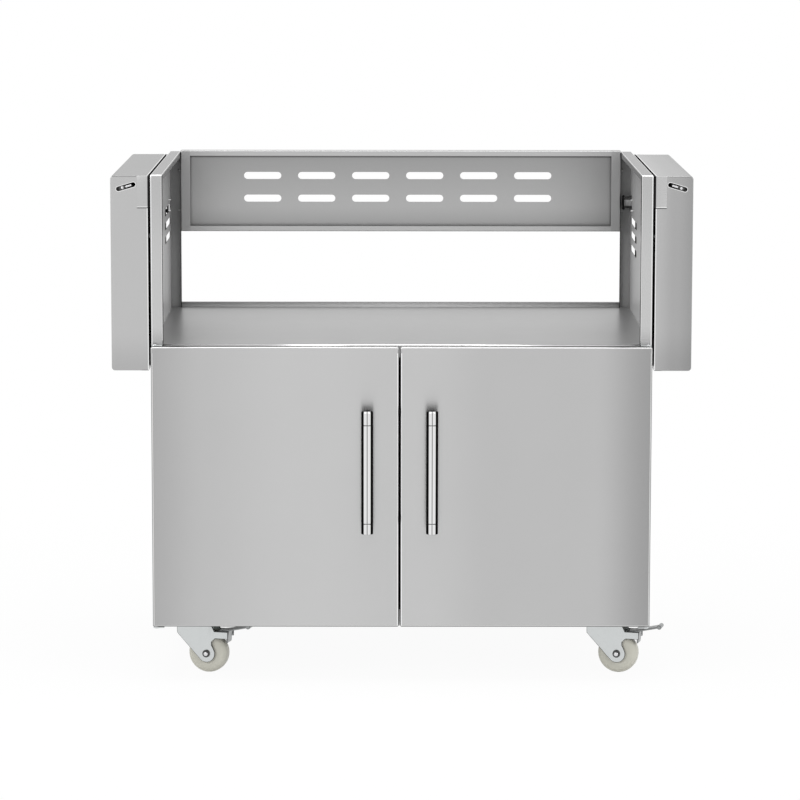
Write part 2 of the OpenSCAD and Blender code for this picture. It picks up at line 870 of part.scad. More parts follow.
// The section of a shelf in X and Z, grown inwards by a wall
module shelf_section(wall) {
    r = shelf_r - wall;
    x0 = -shelf_x - shelf_t + wall;
    x1 = wall > 0 ? -shelf_x + cut_over : -shelf_x;
    z0 = shelf_top - shelf_l + wall;
    z1 = shelf_top - wall;
    translate([x0 + r, z0]) square([x1 - x0 - r, z1 - z0]);
    translate([x0, z0 + r]) square([r, z1 - z0 - 2 * r]);
    for (z = [z0 + r, z1 - r]) translate([x0 + r, z]) circle(r);
}

// The slanted slot in a shelf's skirt, in X and Z
module hinge_slot() {
    run = slot_in - slot_out;
    translate([-hinge_x + slot_out.x, hinge_z + slot_out.y]) {
        circle(d = hinge_slot_w);
        rotate(atan2(run.y, run.x)) {
            translate([0, -hinge_slot_w / 2]) square([norm(run), hinge_slot_w]);
            translate([norm(run), 0]) circle(d = hinge_slot_w);
        }
    }
}

// A shelf: a folded pan that hangs with its open side to the wall
module shelf_pan() {
    color(steel) {
        difference() {
            along_y(shelf_y0, shelf_d) shelf_section(0);
            along_y(shelf_y0 + sheet_t, shelf_d - 2 * sheet_t) shelf_section(sheet_t);
            along_y(shelf_y0 - cut_over, shelf_d + 2 * cut_over) hinge_slot();
        }
        slab([-shelf_x - sheet_t, shelf_y0, shelf_top - shelf_l],
            [-shelf_x, shelf_y1, shelf_top - shelf_l + shelf_hem]);
    }
}

// The hat-shaped stiffener under a shelf's skin
module shelf_stiffener() {
    x0 = -shelf_x - shelf_t + sheet_t;
    x1 = x0 + stiffener_h;
    z0 = shelf_top - stiffener_down - stiffener_w / 2;
    z1 = z0 + stiffener_w;
    y0 = shelf_y0 + stiffener_inset;
    y1 = shelf_y1 - stiffener_inset;
    color(dark_steel) {
        slab([x1 - sheet_t, y0, z0], [x1, y1, z1]);
        slab([x0, y0, z0], [x1, y1, z0 + sheet_t]);
        slab([x0, y0, z1 - sheet_t], [x1, y1, z1]);
        slab([x0, y0, z0 - shelf_hem], [x0 + sheet_t, y1, z0 + sheet_t]);
        slab([x0, y0, z1 - sheet_t], [x0 + sheet_t, y1, z1 + shelf_hem]);
    }
}

// The bushes in a shelf's slots, which turn on the hinge pins
module shelf_bushes() {
    back = shelf_y0 + sheet_t;
    color(nylon) for (side = [0, 1])
        translate([0, side * (shelf_y0 + shelf_y1), 0]) mirror([0, side, 0]) difference() {
            union() {
                rod_y(-hinge_x, shelf_y0, back, hinge_z, bush_d);
                rod_y(-hinge_x, back, back + bush_flange_t, hinge_z, bush_flange_d);
            }
            rod_y(-hinge_x, shelf_y0 - cut_over, back + bush_flange_t + cut_over, hinge_z,
                bush_bore_d);
        }
}

// The rubber bumpers that keep a folded shelf off the side panel
module shelf_bumpers() {
    z = shelf_top - shelf_l + shelf_hem / 2;
    color(rubber) for (y = [shelf_y0 + bumper_inset, shelf_y1 - bumper_inset])
        rod_x(-shelf_x, -half_w - part_gap, y, z, bumper_d);
}

module left_shelf_pan() {
    shelf_pan();
}

module left_shelf_stiffener() {
    shelf_stiffener();
}

module left_shelf_bushes() {
    shelf_bushes();
}

module left_shelf_bumpers() {
    shelf_bumpers();
}

module right_shelf_pan() {
    mirror([1, 0, 0]) shelf_pan();
}

module right_shelf_stiffener() {
    mirror([1, 0, 0]) shelf_stiffener();
}

module right_shelf_bushes() {
    mirror([1, 0, 0]) shelf_bushes();
}

module right_shelf_bumpers() {
    mirror([1, 0, 0]) shelf_bumpers();
}

// Puts a swivelling piece at its caster, turned as the cart last rolled
module at_caster(i) {
    translate(caster_places[i]) rotate([0, 0, caster_yaw]) children();
}

// A caster's fixed top plate with its raceway and riveted kingpin
module caster_plate(i) {
    race_low = base_h - plate_t - race_t;
    head_top = fork_under - part_gap;
    color(zinc) translate(caster_places[i]) difference() {
        union() {
            slab([-plate_w / 2, -plate_d / 2, base_h - plate_t], [plate_w / 2, plate_d / 2, base_h]);
            translate([0, 0, race_low]) cylinder(h = race_t, r = race_r);
            translate([0, 0, head_top]) cylinder(h = base_h - head_top - plate_t, d = kingpin_d);
            translate([0, 0, head_top - kingpin_head_t])
                cylinder(h = kingpin_head_t, d = kingpin_head_d);
        }
        for (p = bolt_places) translate(p + [0, 0, base_h - plate_t - cut_over])
            cylinder(h = plate_t + 2 * cut_over, d = bolt_d + 2 * seat_fit);
    }
}

// The outline of a fork's side in X and Z
module fork_side() {
    polygon([[-heel_x, fork_top], [-heel_x, heel_z], [shin_x, shin_z], [trail, wheel_r],
        [trail + boss_r, wheel_r], [waist_x, waist_z],
        [notch_x, notch_low], [notch_x, notch_high], [notch_x + notch_r, arm_low],
        [arm_end, arm_low], [arm_end, arm_high], [arm_step, arm_high], [fork_r, fork_top]]);
    translate([trail, wheel_r]) circle(boss_r);
}

// A swivelling fork: a round top with a bore for the kingpin and two sides for the axle
module fork(i, with_brake) {
    color(zinc) at_caster(i) difference() {
        union() {
            translate([0, 0, fork_under]) cylinder(h = fork_t, r = fork_r);
            for (y = [-fork_out, fork_in]) along_y(y, fork_t) fork_side();
            if (with_brake) rod_y(brake_x, -fork_out, fork_out, brake_z, brake_pin_d);
        }
        translate([0, 0, fork_under - cut_over])
            cylinder(h = fork_t + 2 * cut_over, d = kingpin_d + 2 * run_fit);
        rod_y(trail, -fork_out - cut_over, fork_out + cut_over, wheel_r, axle_d + 2 * seat_fit);
    }
}

// A wheel with round shoulders, a raised hub and a shallow dish in each side
module wheel(i) {
    bore_r = axle_d / 2 + run_fit;
    half = wheel_w / 2;
    color(nylon) at_caster(i) translate([trail, 0, wheel_r]) rotate([90, 0, 0])
        rotate_extrude($fn = 96) difference() {
            union() {
                translate([bore_r, -half]) square([wheel_r - wheel_shoulder - bore_r, wheel_w]);
                translate([bore_r, -half + wheel_shoulder])
                    square([wheel_r - bore_r, wheel_w - 2 * wheel_shoulder]);
                for (side = [-1, 1])
                    translate([wheel_r - wheel_shoulder, side * (half - wheel_shoulder)])
                        circle(wheel_shoulder);
                translate([bore_r, -half - hub_step])
                    square([hub_r - bore_r, wheel_w + 2 * hub_step]);
            }
            for (side = [-1, 1])
                translate([dish_r0, side * half - dish_t]) square([dish_r1 - dish_r0, 2 * dish_t]);
        }
}

// An axle bolt with its head towards the front and its nut behind
module axle(i) {
    color(bright_steel) at_caster(i) translate([0, 0, wheel_r]) {
        rod_y(trail, -fork_out, fork_out + axle_nut_h, 0, axle_d);
        rod_y(trail, -fork_out - axle_head_h, -fork_out, 0, axle_head_d);
        translate([trail, fork_out + axle_nut_h, 0]) rotate([90, 0, 0])
            cylinder(h = axle_nut_h, d = axle_nut_w / cos(30), $fn = 6);
    }
}

// A brake lever between the fork's arms, with a hook that presses on the wheel
module brake(i) {
    hub_gap_y = fork_in - part_gap;
    color(zinc) at_caster(i) difference() {
        union() {
            rod_y(brake_x, -hub_gap_y, hub_gap_y, brake_z, 2 * brake_hub_r);
            along_y(-brake_w / 2, brake_w) {
                polygon([[brake_x, brake_z], [brake_x, brake_z + brake_hub_r],
                    [arm_end, brake_z + brake_hub_r + brake_t],
                    [brake_tip_x, brake_tip_z + brake_t / 2],
                    [brake_tip_x, brake_tip_z - brake_t / 2],
                    [arm_end, brake_z + brake_hub_r], [brake_x + brake_hub_r, brake_z]]);
                polygon([[hook_x, brake_z + brake_hub_r], [hook_x, hook_z],
                    [hook_x + hook_t, hook_z], [hook_x + 2 * hook_t, brake_z + brake_hub_r]]);
            }
            rod_y(brake_tip_x, -brake_w / 2, brake_w / 2, brake_tip_z, brake_knob_d);
        }
        rod_y(brake_x, -fork_in, fork_in, brake_z, brake_pin_d + 2 * run_fit);
    }
}

module front_left_caster_plate() {
    caster_plate(0);
}

module front_left_fork() {
    fork(0, true);
}

module front_left_axle() {
    axle(0);
}

module front_left_wheel() {
    wheel(0);
}

module front_left_brake() {
    brake(0);
}

module front_right_caster_plate() {
    caster_plate(1);
}

module front_right_fork() {
    fork(1, true);
}

module front_right_axle() {
    axle(1);
}

module front_right_wheel() {
    wheel(1);
}

module front_right_brake() {
    brake(1);
}

module rear_left_caster_plate() {
    caster_plate(2);
}

module rear_left_fork() {
    fork(2, false);
}

module rear_left_axle() {
    axle(2);
}

module rear_left_wheel() {
    wheel(2);
}

module rear_right_caster_plate() {
    caster_plate(3);
}

module rear_right_fork() {
    fork(3, false);
}

module rear_right_axle() {
    axle(3);
}

module rear_right_wheel() {
    wheel(3);
}

left_side_panel();
right_side_panel();
rear_vent_panel();
deck_pan();
cabinet_floor();
cabinet_back();
front_top_rail();
front_base_channel();
rear_base_channel();
gas_line_grommet();
left_magnetic_catch();
right_magnetic_catch();
frame_screws();
caster_bolts();
left_front_bracket();
left_rear_bracket();
right_front_bracket();
right_rear_bracket();
shelf_pins();
left_hinge_plates();
right_hinge_plates();
door_hinge_pins();
left_door_skin();
left_door_liner();
left_pivot_blocks();
left_strike_plate();
left_handle_tube();
left_handle_ends();
right_door_skin();
right_door_liner();
right_pivot_blocks();
right_strike_plate();
right_handle_tube();
right_handle_ends();
left_shelf_pan();
left_shelf_stiffener();
left_shelf_bushes();
left_shelf_bumpers();
right_shelf_pan();
right_shelf_stiffener();
right_shelf_bushes();
right_shelf_bumpers();
front_left_caster_plate();
front_left_fork();
front_left_axle();
front_left_wheel();
front_left_brake();
front_right_caster_plate();
front_right_fork();
front_right_axle();
front_right_wheel();
front_right_brake();
rear_left_caster_plate();
rear_left_fork();
rear_left_axle();
rear_left_wheel();
rear_right_caster_plate();
rear_right_fork();
rear_right_axle();
rear_right_wheel();
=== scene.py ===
"""A stainless grill cart: an open bay over a two-door cabinet, with folding side shelves.

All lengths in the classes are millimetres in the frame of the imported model, with X to the
right, Y to the rear and Z up from the floor. Meshes are made in metres.
"""

from __future__ import annotations

import json
import logging
import math
from dataclasses import dataclass, replace
from enum import Enum
from typing import Callable, Iterable, Sequence

import bmesh
import bpy
from mathutils import Matrix, Vector

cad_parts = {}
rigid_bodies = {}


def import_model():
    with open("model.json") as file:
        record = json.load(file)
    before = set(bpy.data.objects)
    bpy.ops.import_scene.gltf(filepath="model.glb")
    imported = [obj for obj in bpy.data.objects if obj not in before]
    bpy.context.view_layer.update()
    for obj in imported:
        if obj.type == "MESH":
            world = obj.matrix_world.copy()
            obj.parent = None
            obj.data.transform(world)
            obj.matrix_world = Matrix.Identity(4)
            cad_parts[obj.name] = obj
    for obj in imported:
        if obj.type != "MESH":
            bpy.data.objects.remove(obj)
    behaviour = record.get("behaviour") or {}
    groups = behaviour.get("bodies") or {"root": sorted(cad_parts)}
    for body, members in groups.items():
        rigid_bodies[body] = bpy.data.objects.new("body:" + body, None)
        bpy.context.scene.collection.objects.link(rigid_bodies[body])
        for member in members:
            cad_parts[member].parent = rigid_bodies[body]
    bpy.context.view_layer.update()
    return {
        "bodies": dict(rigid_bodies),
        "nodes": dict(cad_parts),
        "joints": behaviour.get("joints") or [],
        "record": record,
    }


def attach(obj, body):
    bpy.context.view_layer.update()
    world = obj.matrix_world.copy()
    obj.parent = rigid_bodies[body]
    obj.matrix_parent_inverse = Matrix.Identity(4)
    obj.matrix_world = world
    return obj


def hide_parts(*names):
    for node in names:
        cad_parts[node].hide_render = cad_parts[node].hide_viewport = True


MM = 0.001
LOG = logging.getLogger("grill_cart")

Point = tuple[float, float]
Spot = tuple[float, float, float]
Box = tuple[float, float, float, float]


class Side(Enum):
    """Which hand of the cart a piece is on."""

    LEFT = -1
    RIGHT = 1

    @property
    def word(self) -> str:
        """The word that starts the names of this hand's pieces."""
        return self.name.lower()


class Axis(Enum):
    """An axis of the frame. A flat face is named by the axis at right angles to it."""

    X = 0
    Y = 1
    Z = 2


X, Y, Z = Axis
# A face of a box, as the axis at right angles to it with -1 or 1 for its low or high side
Face = tuple[Axis, int]


class Grain(Enum):
    """The direction in which a sheet was brushed, as the stretch of its grain."""

    ACROSS = (5.0, 1100.0, 1100.0)
    LEVEL = (5.0, 5.0, 1100.0)
    UPRIGHT = (1100.0, 1100.0, 5.0)
    NONE = (260.0, 260.0, 260.0)


# The values and node trees of the surfaces

# The numbers of the mix node's sockets for colours, which share their names with others
MIX_LOW, MIX_HIGH, MIX_RESULT = 6, 7, 2


class Wire:
    """A value in a node tree that takes part in sums and products."""

    def __init__(self, bench: "Bench", socket: bpy.types.NodeSocket) -> None:
        """Keeps the bench that the value belongs to and its socket."""
        self.bench = bench
        self.socket = socket

    def __add__(self, other: "Wire | float") -> "Wire":
        """Returns this value plus another."""
        return self.bench.maths("ADD", self, other)

    __radd__ = __add__

    def __mul__(self, other: "Wire | float") -> "Wire":
        """Returns this value times another."""
        return self.bench.maths("MULTIPLY", self, other)

    __rmul__ = __mul__

    def __sub__(self, other: "Wire | float") -> "Wire":
        """Returns this value less another."""
        return self.bench.maths("SUBTRACT", self, other)

    def __rsub__(self, other: float) -> "Wire":
        """Returns a number less this value."""
        return self.bench.maths("SUBTRACT", other, self)

    def __truediv__(self, other: "Wire | float") -> "Wire":
        """Returns this value divided by another."""
        return self.bench.maths("DIVIDE", self, other)

    def greatest(self, other: "Wire | float") -> "Wire":
        """Returns the greater of this value and another."""
        return self.bench.maths("MAXIMUM", self, other)


class Bench:
    """The node tree of one material or of the world, and what lays nodes out in it."""

    def __init__(self, tree: bpy.types.NodeTree) -> None:
        """Clears the tree that the nodes go into."""
        self.tree = tree
        tree.nodes.clear()

    def node(
        self,
        kind: str,
        settings: dict[str, object] | None = None,
        values: dict[str | int, object] | None = None,
        out: str | int = 0,
    ) -> Wire:
        """Adds any node.

        Args:
            kind: The node's type name.
            settings: Its own settings by name.
            values: Its input sockets by name or number, each a number, a tuple or a Wire.
            out: The output socket that is wanted, by name or number.

        Returns:
            The wanted output.
        """
        made = self.tree.nodes.new(kind)
        for name, value in (settings or {}).items():
            setattr(made, name, value)
        for key, value in (values or {}).items():
            if isinstance(value, Wire):
                self.tree.links.new(value.socket, made.inputs[key])
            else:
                made.inputs[key].default_value = value
        return Wire(self, made.outputs[out] if made.outputs else None)

    def maths(self, operation: str, a: Wire | float, b: Wire | float) -> Wire:
        """Returns the result of one sum on two values."""
        return self.node("ShaderNodeMath", {"operation": operation}, {0: a, 1: b})

    def blend(self, share: Wire, low: Wire | tuple, high: Wire | tuple) -> Wire:
        """Returns a colour between two, by a share from 0 to 1."""
        return self.node("ShaderNodeMix", {"data_type": "RGBA", "clamp_factor": True},
                         {0: share, MIX_LOW: low, MIX_HIGH: high}, out=MIX_RESULT)

    def place(self, stretch: Spot = (1.0, 1.0, 1.0)) -> Wire:
        """Returns the object's own coordinates, stretched."""
        spot = self.node("ShaderNodeTexCoord", out="Object")
        return self.node("ShaderNodeMapping", None, {"Vector": spot, "Scale": stretch})

    def noise(self, spot: Wire, scale: float, detail: float = 2.0, rough: float = 0.5) -> Wire:
        """Returns a soft random value from 0 to 1 at a spot."""
        values = {"Vector": spot, "Scale": scale, "Detail": detail, "Roughness": rough}
        return self.node("ShaderNodeTexNoise", None, values)

    def along(self, axis: Axis) -> Wire:
        """Returns a spot's place on one axis, in metres."""
        spot = self.node("ShaderNodeTexCoord", out="Object")
        return self.node("ShaderNodeSeparateXYZ", None, {0: spot}, out=axis.value)

    def apart(self, axis: Axis, middle: float) -> Wire:
        """Returns the distance of a spot from a place on an axis, in metres."""
        return self.maths("ABSOLUTE", self.along(axis) - middle, 0.0)

    def rise(self, value: Wire, start: float, end: float) -> Wire:
        """Returns a value that turns softly from 0 to 1 while another goes from start to end."""
        return self.node("ShaderNodeMapRange", {"interpolation_type": "SMOOTHSTEP"},
                         {0: value, 1: start, 2: end, 3: 0.0, 4: 1.0})

    def step(self, value: Wire, level: float, soft: float) -> Wire:
        """Returns 0 below a level and 1 above it, with a soft change between."""
        return self.rise(value, level - soft, level + soft)

    def bump(self, height: Wire, strength: float, depth: float) -> Wire:
        """Returns a normal that is tilted by a height in metres."""
        values = {"Height": height, "Strength": strength, "Distance": depth}
        return self.node("ShaderNodeBump", None, values)


def grey(tone: float) -> Spot:
    """Returns a neutral colour."""
    return (tone, tone, tone)


def shade(colour: Sequence[float], by: float = 1.0) -> tuple[float, float, float, float]:
    """Returns a colour with its alpha, made lighter or darker by a factor."""
    r, g, b = (min(1.0, max(0.0, c * by)) for c in colour)
    return (r, g, b, 1.0)


@dataclass(frozen=True)
class Fade:
    """A stretch of an axis over which a surface turns, by a share, towards another tone. The
    script mostly uses it to paint shade, shadow lines and highlights.

    The tone is reached at the end. With a middle, start and end are distances from it.
    """

    axis: Axis
    start: float
    end: float
    share: float
    tone: float = 0.0
    middle: float | None = None

    def place(self, bench: Bench) -> Wire:
        """Returns the share of the other tone at a spot."""
        if self.middle is None:
            spot = bench.along(self.axis)
        else:
            spot = bench.apart(self.axis, self.middle * MM)
        return bench.rise(spot, self.start * MM, self.end * MM) * self.share


@dataclass(frozen=True)
class Stripes:
    """The dark bands painted on a polished tube as its reflections and shade: its sides, its back,
    its middle and grooves.

    A band's edge is a pair: where it lies, and how soft it is. Those whose names end in
    share are shares of the tube's radius. The groove's edge is in millimetres.
    """

    x: float
    y: float
    grooves: Point
    radius: float
    inner_share: Point = (0.56, 0.03)
    outer_share: Point = (0.985, 0.01)
    back_share: Point = (0.45, 0.15)
    middle_share: Point = (0.07, 0.04)
    groove_edge: Point = (0.9, 0.4)
    middle_dark: float = 0.75
    groove_dark: float = 0.8

    def share(self, bench: Bench) -> Wire:
        """Returns 1 in the dark bands and 0 beside them."""
        across = bench.apart(X, self.x * MM) / (self.radius * MM)
        back = (bench.along(Y) - self.y * MM) / (self.radius * MM)
        dark = bench.step(across, *self.inner_share)
        dark = dark * (1.0 - bench.step(across, *self.outer_share))
        dark = dark.greatest(bench.step(back, *self.back_share))
        dark = dark.greatest((1.0 - bench.step(across, *self.middle_share)) * self.middle_dark)
        edge = [length * MM for length in self.groove_edge]
        for height in self.grooves:
            beside = bench.step(bench.apart(Z, height * MM), *edge)
            dark = dark.greatest((1.0 - beside) * self.groove_dark)
        return dark


# How strongly the textures show, alike for every finish
TEXTURE_DETAIL = 3.0
FINE_ROUGH, CLOUD_ROUGH = 0.65, 0.55
TONE_GAIN, TONE_SPREAD = 6.0, 0.1
BUMP_STRENGTH = 0.35
BRUSH_TURN = 0.25
# The tone of the dark bands painted on polished tubes as reflections and shade
PAINTED_REFLECTION_TONE = 0.004


@dataclass(frozen=True)
class Finish:
    """A metal, nylon or rubber surface with its fine texture.

    A fine noise, stretched by the grain, and a coarse one vary the tone, by streak and by
    mottle, and both vary the roughness, by uneven. Fades paint shade and highlights into the
    tone of the gloss, and dull places put a flat painted tone of shade, reflection or highlight in
    its place.
    """

    name: str
    slot: str
    colour: Spot
    metallic: float = 1.0
    roughness: float = 0.3
    uneven: float = 0.08
    streak: float = 0.05
    grain: Grain = Grain.NONE
    anisotropy: float = 0.0
    bump: float = 0.02
    mottle: float = 0.03
    mottle_scale: float = 9.0
    fades: tuple[Fade, ...] = ()
    dull: tuple[Fade, ...] = ()
    stripes: Stripes | None = None

    def like(self, name: str, **changes: object) -> "Finish":
        """Returns a finish of another name that differs from this one in the given values."""
        return replace(self, name=name, **changes)

    def material(self) -> bpy.types.Material:
        """Makes the finish's material, or returns the one made before."""
        known = bpy.data.materials.get(self.name)
        if known is not None:
            return known
        made = bpy.data.materials.new(self.name)
        made.use_nodes = True
        bench = Bench(made.node_tree)
        fine = bench.noise(bench.place(self.grain.value), 1.0, TEXTURE_DETAIL, FINE_ROUGH)
        cloud = bench.noise(bench.place(), self.mottle_scale, TEXTURE_DETAIL, CLOUD_ROUGH)
        fine, cloud = fine - 0.5, cloud - 0.5
        tone = 0.5 + (fine * self.streak + cloud * self.mottle) * TONE_GAIN
        colour = bench.blend(tone, shade(self.colour, 1.0 - TONE_SPREAD),
                             shade(self.colour, 1.0 + TONE_SPREAD))
        # The fades paint shade and highlights over the textured tone
        for fade in self.fades:
            colour = bench.blend(fade.place(bench), colour, shade(grey(fade.tone)))
        shader = bench.node(
            "ShaderNodeBsdfPrincipled",
            None,
            {
                "Base Color": colour,
                "Metallic": self.metallic,
                "Roughness": self.roughness + (fine + cloud) * self.uneven,
                "Normal": bench.bump(fine, BUMP_STRENGTH, self.bump * MM),
                "Anisotropic": self.anisotropy,
                "Anisotropic Rotation": BRUSH_TURN,
            },
        )
        # Flat painted tones of shade, reflection or highlight take the place of the gloss
        for share, tone in self._dull(bench):
            flat = bench.node("ShaderNodeBsdfDiffuse", None, {"Color": shade(grey(tone))})
            shader = bench.node("ShaderNodeMixShader", None, {0: share, 1: shader, 2: flat})
        bench.node("ShaderNodeOutputMaterial", None, {"Surface": shader})
        made.diffuse_color = shade(self.colour)
        return made

    def _dull(self, bench: Bench) -> list[tuple[Wire, float]]:
        """Returns where a flat painted tone takes the gloss's place, each as a share with its
        tone.
        """
        places = [(fade.place(bench), fade.tone) for fade in self.dull]
        if self.stripes is not None:
            places.append((self.stripes.share(bench), PAINTED_REFLECTION_TONE))
        return places


# The main sizes, and the finishes whose fades follow them


@dataclass(frozen=True)
class CartSizes:
    """The cart's main planes, and where its casters turn."""

    half_w: float = 457.0
    bay_half: float = 435.0
    sheet: float = 1.2
    y_front: float = -266.5
    y_rear: float = 340.5
    base_h: float = 101.5
    deck_h: float = 624.5
    body_h: float = 934.0
    vent_h: float = 160.0
    vent_rise: float = 3.0
    lip: float = 10.0
    fold: float = 2.0
    grommet_drop: float = 98.0
    caster_x: float = 382.0
    caster_front: float = -188.5
    caster_rear: float = 262.5

    @property
    def vent_top(self) -> float:
        """The height of the rear vent panel's top."""
        return self.body_h + self.vent_rise

    @property
    def vent_low(self) -> float:
        """The height of the rear vent panel's lower edge."""
        return self.vent_top - self.vent_h


CART = CartSizes()


class Finishes:
    """The finishes of this cart. Most of their fades paint shade, shadow lines and highlights.

    A fade's places are given from the nearest plane. One that ends in front of the
    cart covers the whole surface.
    """

    SHEET = Finish("sheet_steel", "sheet", grey(0.56), roughness=0.26, uneven=0.04,
                   streak=0.02, grain=Grain.LEVEL, anisotropy=0.6)
    # Painted shade: a dark top edge, darker towards the top and towards the deck, and a dark line
    # on the lip at the bay's edge
    PANEL = SHEET.like("panel_steel", fades=(
        Fade(Z, CART.body_h - 2.0, CART.body_h - 0.2, 0.5),
        Fade(Z, CART.body_h - 184.0, CART.body_h - 4.0, 0.12),
        Fade(Z, CART.deck_h + 35.5, CART.deck_h - 4.5, 0.24),
        Fade(X, CART.bay_half + 0.6, CART.bay_half + 0.2, 0.9, middle=0.0)))
    # The bay's inner walls: their own tone, mostly a flat grey in place of gloss, with painted
    # shade darkening towards the rear and darkest on the rear flange
    PANEL_INNER = SHEET.like(
        "panel_inner_steel", colour=grey(0.66), roughness=0.36,
        fades=(Fade(Y, -100.0, CART.y_rear - 10.5, 0.1),),
        dull=(Fade(Y, -900.0, -800.0, 0.65, 0.44),
              Fade(Y, CART.y_rear - 9.5, CART.y_rear - 3.5, 0.65, 0.2)))
    # Painted shade: darker towards the left and towards the rear. The rear rise is a flat painted
    # grey in place of its reflection
    DECK = SHEET.like(
        "deck_steel", colour=grey(0.4), roughness=0.34, uneven=0.08, grain=Grain.ACROSS,
        fades=(Fade(X, -150.0, -450.0, 0.12), Fade(Y, 0.0, 300.0, 0.1)),
        dull=(Fade(Z, CART.deck_h, CART.deck_h + 1.0, 1.0, 0.44),))
    # Painted shade: darker on the end lips, the top edge and the lower edge
    VENT = SHEET.like(
        "vent_steel", colour=grey(0.5), roughness=0.3, uneven=0.02, streak=0.012,
        anisotropy=0.5, bump=0.006,
        fades=(Fade(X, CART.bay_half - 21.0, CART.bay_half - 17.0, 0.15, middle=0.0),
               Fade(Z, CART.vent_top - 2.0, CART.vent_top - 0.2, 0.3),
               Fade(Z, CART.vent_low + 1.5, CART.vent_low + 0.2, 0.3)))
    # The recessed web: a darker copy of the vent's steel, painted darker towards the right end,
    # the top and the bottom, with a painted shadow under the top lip
    VENT_WEB = SHEET.like(
        "vent_web_steel", colour=grey(0.45), roughness=0.3, streak=0.015,
        grain=Grain.UPRIGHT, anisotropy=0.5,
        fades=(Fade(X, 240.0, 440.0, 0.06),
               Fade(Z, CART.vent_low + 33.0, CART.vent_top - 7.0, 0.2),
               Fade(Z, CART.vent_low + 53.0, CART.vent_low + 13.0, 0.14),
               Fade(Z, CART.vent_top - 15.8, CART.vent_top - 14.4, 0.5)))
    BRACKET = SHEET.like("bracket_steel", colour=grey(0.52), uneven=0.08)
    INNER = Finish("inner_steel", "sheet", grey(0.4), roughness=0.38, streak=0.02,
                   grain=Grain.LEVEL, anisotropy=0.4)
    # Painted shade: near-black steel for the insides of the shelves, their stiffeners and the door
    # skins
    SHELF_INNER = Finish("shelf_inner_steel", "sheet", grey(0.035), roughness=0.4,
                         streak=0.02, grain=Grain.LEVEL)
    # Painted shade: the sheets' cut edges, and so the sides of slots and gaps, are near black
    CUT = Finish("cut_edge_steel", "sheet", grey(0.05), roughness=0.4, streak=0.02)
    # Painted highlight on folds and slot rims; the side panels' copy has painted shade at the
    # bay's edge
    FOLD = Finish("fold_steel", "sheet", grey(0.9), roughness=0.2, streak=0.01)
    PANEL_FOLD = FOLD.like("panel_fold_steel", fades=(
        Fade(X, CART.bay_half + 1.6, CART.bay_half + 1.0, 0.95, middle=0.0),))
    TUBE = Finish("polished_tube", "polished", grey(0.78), roughness=0.1, uneven=0.04,
                  streak=0.01, grain=Grain.LEVEL, bump=0.005)
    SCREW = Finish("screw_steel", "polished", (0.7, 0.7, 0.71), roughness=0.22, streak=0.02)
    ZINC = Finish("zinc_plate", "zinc", (0.6, 0.62, 0.62), roughness=0.24, streak=0.03,
                  mottle=0.05, mottle_scale=90.0)
    # Painted shade: the top of the fork, under the cabinet, is dark
    FORK = ZINC.like("fork_zinc", fades=(Fade(Z, CART.base_h - 9.2, CART.base_h - 8.2, 0.9),))
    PEDAL = ZINC.like("pedal_zinc", colour=(0.3, 0.31, 0.31), roughness=0.3)
    # Painted shade: a dark outline on the softened edges and thin sides of the forks and pedals
    ZINC_EDGE = Finish("zinc_edge", "zinc", grey(0.09), metallic=0.6, roughness=0.35, streak=0.03)
    # Painted shade: the caster plates are near black, as in the shade under the cabinet
    RACE = Finish("swivel_race_steel", "zinc", grey(0.12), streak=0.03)
    NYLON = Finish("cream_nylon", "nylon", (0.66, 0.65, 0.57), metallic=0.0, roughness=0.42,
                   streak=0.01, bump=0.01, mottle=0.02, mottle_scale=60.0)
    RUBBER = Finish("black_rubber", "rubber", grey(0.02), metallic=0.0, roughness=0.55, bump=0.03)
    # A painted highlight: a flat light band round the bushing's middle. The inner end collar is
    # flat black
    GROMMET = RUBBER.like("grommet_rubber", roughness=0.4, dull=(
        Fade(Z, 6.6, 5.0, 1.0, 0.3, middle=CART.body_h - CART.grommet_drop),
        Fade(X, CART.bay_half + 6.3, CART.bay_half + 5.7, 1.0, 0.01)))
    PLASTIC = Finish("dark_plastic", "plastic", grey(0.05), metallic=0.0, roughness=0.45)


# Meshes, made in metres from sizes in millimetres

# How near vertices are joined
SHEET_WELD, NODE_WELD, LATHE_WELD = 0.02, 0.01, 0.005
# In degrees: what counts as a fold, a sharp edge, a hard line on a turned shape, and as flat
FOLD_ANGLE, SHARP_ANGLE, LINE_ANGLE, FLAT_ANGLE = 40.0, 35.0, 38.0, 0.5
# The border of the cell round a slot
CELL_BORDER = 3.0
# A packed face wider than this, in square metres, is flat and is lit as one plane
BROAD = 0.008
# A sheet's materials: its outside, its folds and slot rims, which carry a painted highlight,
# and the steps from these to those of its inside and, last, of its cut edges
OUTSIDE, PAINTED_HIGHLIGHT = 0, 2
STEP_INSIDE, STEP_CUT = 1, 4
# The material of the softened edges on a piece that has one for them
RIM = 1
# The brushed gloss turns round this point, which lies far back so that it runs straight
GLOSS_MIDDLE = (0.0, 100.0, 0.0)


def at(x: float, y: float, z: float) -> Vector:
    """Returns a point in metres from millimetres."""
    return Vector((x * MM, y * MM, z * MM))


def near(place: float, plane: float, within: float = 0.1) -> bool:
    """Tells whether a place in metres is at a plane given in millimetres."""
    return abs(place - plane * MM) < within * MM


def on_plane(plane: Axis, level: float, u: float, v: float) -> Vector:
    """Returns a point of a plane: u and v run along its two axes in X, Y, Z order."""
    return at(*{X: (level, u, v), Y: (u, level, v), Z: (u, v, level)}[plane])


